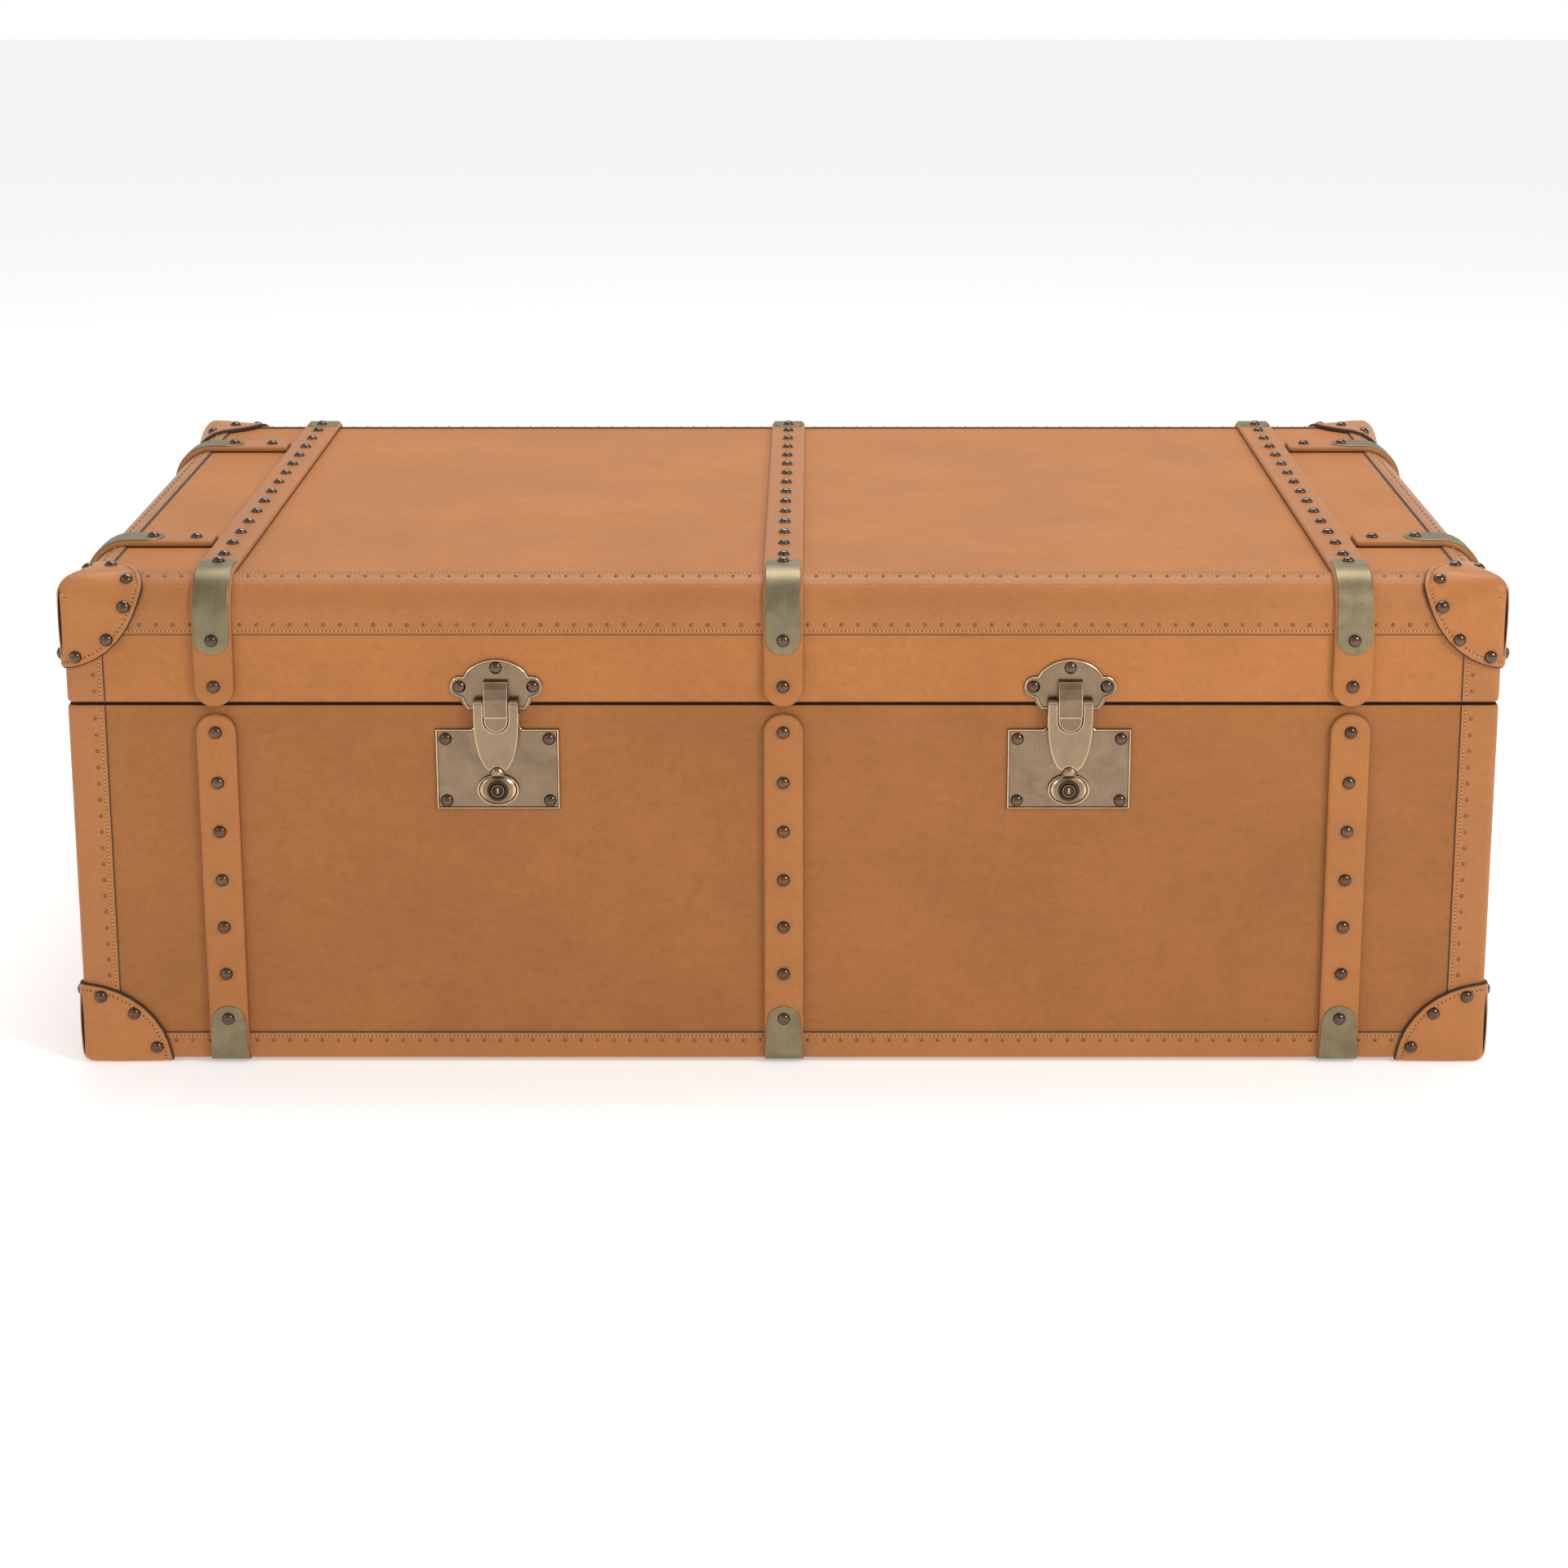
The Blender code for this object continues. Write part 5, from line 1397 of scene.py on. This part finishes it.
def seam_lines(pitch, lower_gap, upper_gap, foot_gap, post_gap):
    """Places along all the binding seams at a distance from their edges: those of the lid and the base."""
    lower = LID_TOP - BINDING_DROP
    lid = line_round(-SEAM_OUT, lower + lower_gap, 1, 0, pitch)
    angle = upper_gap / LID_ROUND
    inset = LID_ROUND - (LID_ROUND + SEAM_OUT) * math.sin(angle)
    height = ROUND_START + (LID_ROUND + SEAM_OUT) * math.cos(angle)
    lid += line_round(inset, height, math.sin(angle), math.cos(angle), pitch)
    lid += post_lines(LID_RIM + 0.004, lower, post_gap, pitch, True)
    foot = UNDERSIDE + FOOT_BINDING - BINDING_OUT
    base = line_round(-SEAM_OUT, foot - foot_gap, 1, 0, pitch)
    base += post_lines(foot + 0.002, BASE_RIM - 0.006, post_gap, pitch, False)
    return lid, base


def drive_nails(sizes):
    """Dome nails, then the binding tacks and hinge screws with their dark eyes of painted shade."""
    strap_lid, strap_base = strap_nails()
    lock_lid, lock_base = lock_nails()
    screw_lid, screw_base = hinge_screws()
    tack_lid, tack_base = seam_lines(sizes.tack_pitch, *TACK_SEAMS)
    nail = {"Length": sizes.nail_width, "Width": sizes.nail_width, "Height": sizes.nail_height}
    nail |= {**NAIL_SHAPE, "Seed": sizes.seed}
    set_beads("lid_nails", strap_lid + lock_lid + cap_nails(1), "lid", "nail_brass", "nail_brass", **nail)
    nails = strap_base + lock_base + cap_nails(-1) + handle_nails()
    set_beads("base_nails", nails, "base", "nail_brass", "nail_brass", **nail)
    tack = {"Length": sizes.tack_width, "Width": sizes.tack_width, **TACK_SHAPE, "Seed": sizes.seed + 1}
    for body, places in (("lid", tack_lid + screw_lid), ("base", tack_base + screw_base)):
        set_beads(f"{body}_tacks", places, body, "tack_brass", "tack_brass", **tack)
        # dark eyes of painted shade, set on the heads
        eyes = [(point + facing * SHADE_EYE_RISE, facing, running) for point, facing, running in places]
        set_beads(f"{body}_tack_eyes", eyes, body, "tack_brass", "raw_edge", **(tack | SHADE_EYE_SHAPE))


def sew_seams(sizes):
    """Stitches of the bindings and caps, each with a dark dot of painted shade for the hole that follows it.
    """
    lid, base = seam_lines(sizes.stitch_pitch, *STITCH_SEAMS)
    stitch = {"Length": sizes.stitch_length, **STITCH_SHAPE, "Seed": sizes.seed + 2}
    hole = {**HOLE_SHADE_SHAPE, "Seed": sizes.seed + 3}
    for body, up, places in (("lid", 1, lid), ("base", -1, base)):
        places = places + cap_stitches(up, sizes.stitch_pitch * CAP_PITCH)
        set_beads(f"{body}_stitches", places, body, "thread", "thread", **stitch)
        # dark dots of painted shade for the holes
        holes = []
        for point, facing, running in places:
            shift = running.normalized() * sizes.stitch_pitch * 0.5 + facing * 0.0002
            holes.append((point + shift, facing, running))
        set_beads(f"{body}_stitch_holes", holes, body, "raw_edge", "raw_edge", **hole)


# Stage -----------------------------------------------------------------------------------------
def area_light(name, place, aim, size, power, colour):
    light = bpy.data.lights.new(name, "AREA")
    light.shape = "RECTANGLE"
    light.size, light.size_y = size
    light.energy = power
    light.color = colour
    made = bpy.data.objects.new(name, light)
    made.location = place
    made.rotation_euler = (Vector(aim) - Vector(place)).to_track_quat("-Z", "Y").to_euler()
    bpy.context.scene.collection.objects.link(made)


FLOOR_HALF = 12.0
# Height above the horizon and brightness of the studio's walls
STUDIO = ((0.0, 1.0), (0.12, 0.88), (0.35, 0.66), (0.85, 0.5))
# Name, place, aim, size, watts, colour
LIGHTS = (
    ("key", (2.3, -2.4, 2.4), (0, 0, 0.2), (0.8, 0.8), 44.0, (1.0, 0.985, 0.96)),
    ("fill", (-2.8, -2.2, 1.9), (0, 0, 0.2), (0.6, 0.9), 8.0, (0.97, 0.985, 1.0)),
    ("top", (0.2, 0.9, 3.2), (0, 0, 0.3), (2.4, 1.4), 58.0, (1.0, 1.0, 1.0)),
)
CAMERA_PLACE = (0.026, -3.244, 1.12)
CAMERA_TILT = 14.54  # degrees below the horizon
CAMERA_LENS, CAMERA_SENSOR = 77.9, 36.0
CAMERA_SHIFT = (-0.0184, -0.08)


def set_floor(colour):
    mesh = bpy.data.meshes.new("floor")
    mesh.from_pydata([(a * FLOOR_HALF, b * FLOOR_HALF, 0) for a, b in CORNERS], [], [(0, 1, 2, 3)])
    mesh.materials.append(paper("floor_paper", colour))
    floor = bpy.data.objects.new("floor", mesh)
    bpy.context.scene.collection.objects.link(floor)


def stage():
    scene = bpy.context.scene
    set_floor(tuple(scene.trunk_colours.floor))
    world = bpy.data.worlds.new("studio")
    world.use_nodes = True
    tree = world.node_tree
    sky = node(tree, "ShaderNodeSeparateXYZ", {0: node(tree, "ShaderNodeTexCoord").outputs["Generated"]})
    background = tree.nodes["Background"]
    tree.links.new(ramp(tree, sky.outputs[2], STUDIO), background.inputs["Color"])
    background.inputs["Strength"].default_value = 1.0
    scene.world = world
    for light in LIGHTS:
        area_light(*light)
    scene.view_settings.view_transform = "Standard"

    lens = bpy.data.cameras.new("camera")
    lens.lens, lens.sensor_width = CAMERA_LENS, CAMERA_SENSOR
    lens.shift_x, lens.shift_y = CAMERA_SHIFT
    lens.clip_start = 0.05
    camera = bpy.data.objects.new("camera", lens)
    camera.location = CAMERA_PLACE
    camera.rotation_euler = (math.radians(90 - CAMERA_TILT), 0.0, 0.0)
    scene.collection.objects.link(camera)
    scene.camera = camera


# Panel and operators ---------------------------------------------------------------------------
def length_property(name, description, default):
    return FloatProperty(name=name, description=description, default=default, unit="LENGTH")


class TrunkSizes(bpy.types.PropertyGroup):
    nail_width: length_property("Nail width", "Across a dome nail's head", 0.0117)
    nail_height: length_property("Nail height", "Height of a dome nail's head", 0.0042)
    tack_width: length_property("Tack width", "Across a small binding tack", 0.0035)
    tack_pitch: length_property("Tack pitch", "From tack to tack", 0.0145)
    stitch_length: length_property("Stitch length", "One stitch of the seams", 0.0025)
    stitch_pitch: length_property("Stitch pitch", "From stitch to stitch", 0.0035)
    seed: IntProperty(name="Seed", description="Seed of the unevenness of nails and stitches", default=11)


def colour_property(name, about, default):
    return FloatVectorProperty(
        name=name, description=about, default=default, subtype="COLOR", min=0.0, max=1.0
    )


class TrunkColours(bpy.types.PropertyGroup):
    hide: colour_property("Hide", "Tan leather of skins, straps and caps", (0.455, 0.178, 0.056))
    raw_edge: colour_property("Raw edge", "Painted edges of the leather", (0.030, 0.017, 0.011))
    lock_brass: colour_property("Lock brass", "Pale antiqued brass of the locks", (0.280, 0.196, 0.124))
    hasp_brass: colour_property("Hasp brass", "Golden brass of the hasps", (0.315, 0.225, 0.140))
    fittings: colour_property("Fittings brass", "Bronze-brown brackets and handles", (0.285, 0.235, 0.14))
    nails: colour_property("Nails", "Dark antiqued dome nails", (0.125, 0.072, 0.041))
    tacks: colour_property("Tacks", "Small binding tacks", (0.34, 0.225, 0.12))
    thread: colour_property("Thread", "Waxed thread of the seams", (0.78, 0.43, 0.15))
    lining: colour_property("Lining", "Cloth inside the lid and base", (0.46, 0.37, 0.26))
    floor: colour_property("Floor", "Backdrop paper", (0.93, 0.93, 0.93))


class TRUNK_OT_skins(bpy.types.Operator):
    """Cover the boards of lid and base with leather"""

    bl_idname = "trunk.skins"
    bl_label = "Skins"

    def execute(self, context):
        lid_skin()
        base_skin()
        return {"FINISHED"}


class TRUNK_OT_bindings(bpy.types.Operator):
    """Bind the edges and vertical corners"""

    bl_idname = "trunk.bindings"
    bl_label = "Edge bindings"

    def execute(self, context):
        edge_bindings()
        return {"FINISHED"}


class TRUNK_OT_caps(bpy.types.Operator):
    """Shape the eight corner caps"""

    bl_idname = "trunk.caps"
    bl_label = "Corner caps"

    def execute(self, context):
        for side, end in CORNERS:
            for up in (-1, 1):
                corner_cap(side, end, up)
        return {"FINISHED"}


class TRUNK_OT_straps(bpy.types.Operator):
    """Lay the leather straps"""

    bl_idname = "trunk.straps"
    bl_label = "Straps"

    def execute(self, context):
        all_straps()
        return {"FINISHED"}


class TRUNK_OT_sleeves(bpy.types.Operator):
    """Fit the brass sleeves and foot brackets"""

    bl_idname = "trunk.sleeves"
    bl_label = "Sleeves and brackets"

    def execute(self, context):
        sleeves()
        return {"FINISHED"}


class TRUNK_OT_locks(bpy.types.Operator):
    """Fit the two hasp locks"""

    bl_idname = "trunk.locks"
    bl_label = "Hasp locks"

    def execute(self, context):
        hasp_locks()
        return {"FINISHED"}


class TRUNK_OT_handles(bpy.types.Operator):
    """Fit the end handles"""

    bl_idname = "trunk.handles"
    bl_label = "End handles"

    def execute(self, context):
        handles()
        return {"FINISHED"}


class TRUNK_OT_hinge(bpy.types.Operator):
    """Finish the rear hinge and the stays"""

    bl_idname = "trunk.hinge"
    bl_label = "Hinge and stays"

    def execute(self, context):
        hinge_and_stays()
        return {"FINISHED"}


class TRUNK_OT_lining(bpy.types.Operator):
    """Line the lid and base with cloth"""

    bl_idname = "trunk.lining"
    bl_label = "Lining"

    def execute(self, context):
        linings()
        return {"FINISHED"}


class TRUNK_OT_nails(bpy.types.Operator):
    """Drive the dome nails, the binding tacks and the hinge screws"""

    bl_idname = "trunk.nails"
    bl_label = "Nails and tacks"

    def execute(self, context):
        drive_nails(context.scene.trunk_sizes)
        return {"FINISHED"}


class TRUNK_OT_stitches(bpy.types.Operator):
    """Sew the seams of bindings and caps"""

    bl_idname = "trunk.stitches"
    bl_label = "Stitches"

    def execute(self, context):
        sew_seams(context.scene.trunk_sizes)
        return {"FINISHED"}


class TRUNK_OT_stage(bpy.types.Operator):
    """Set the floor, the lights and the camera"""

    bl_idname = "trunk.stage"
    bl_label = "Stage"

    def execute(self, context):
        stage()
        return {"FINISHED"}


OPERATORS = (
    TRUNK_OT_skins,
    TRUNK_OT_bindings,
    TRUNK_OT_caps,
    TRUNK_OT_straps,
    TRUNK_OT_sleeves,
    TRUNK_OT_locks,
    TRUNK_OT_handles,
    TRUNK_OT_hinge,
    TRUNK_OT_lining,
    TRUNK_OT_nails,
    TRUNK_OT_stitches,
    TRUNK_OT_stage,
)


class TRUNK_PT_panel(bpy.types.Panel):
    """Sizes, colours and pieces of the trunk"""

    bl_label = "Steamer trunk"
    bl_space_type = "VIEW_3D"
    bl_region_type = "UI"
    bl_category = "Trunk"

    def draw(self, context):
        for group in (context.scene.trunk_sizes, context.scene.trunk_colours):
            for key in group.__annotations__:
                self.layout.prop(group, key)
        for operator in OPERATORS:
            self.layout.operator(operator.bl_idname)


CLASSES = (TrunkSizes, TrunkColours, *OPERATORS, TRUNK_PT_panel)


def register():
    for item in CLASSES:
        bpy.utils.register_class(item)
    bpy.types.Scene.trunk_sizes = PointerProperty(type=TrunkSizes)
    bpy.types.Scene.trunk_colours = PointerProperty(type=TrunkColours)


def unregister():
    del bpy.types.Scene.trunk_colours
    del bpy.types.Scene.trunk_sizes
    for item in reversed(CLASSES):
        bpy.utils.unregister_class(item)


def main():
    register()
    for operator in OPERATORS:
        getattr(bpy.ops.trunk, operator.bl_idname.split(".")[1])()


if __name__ == "__main__":
    main()
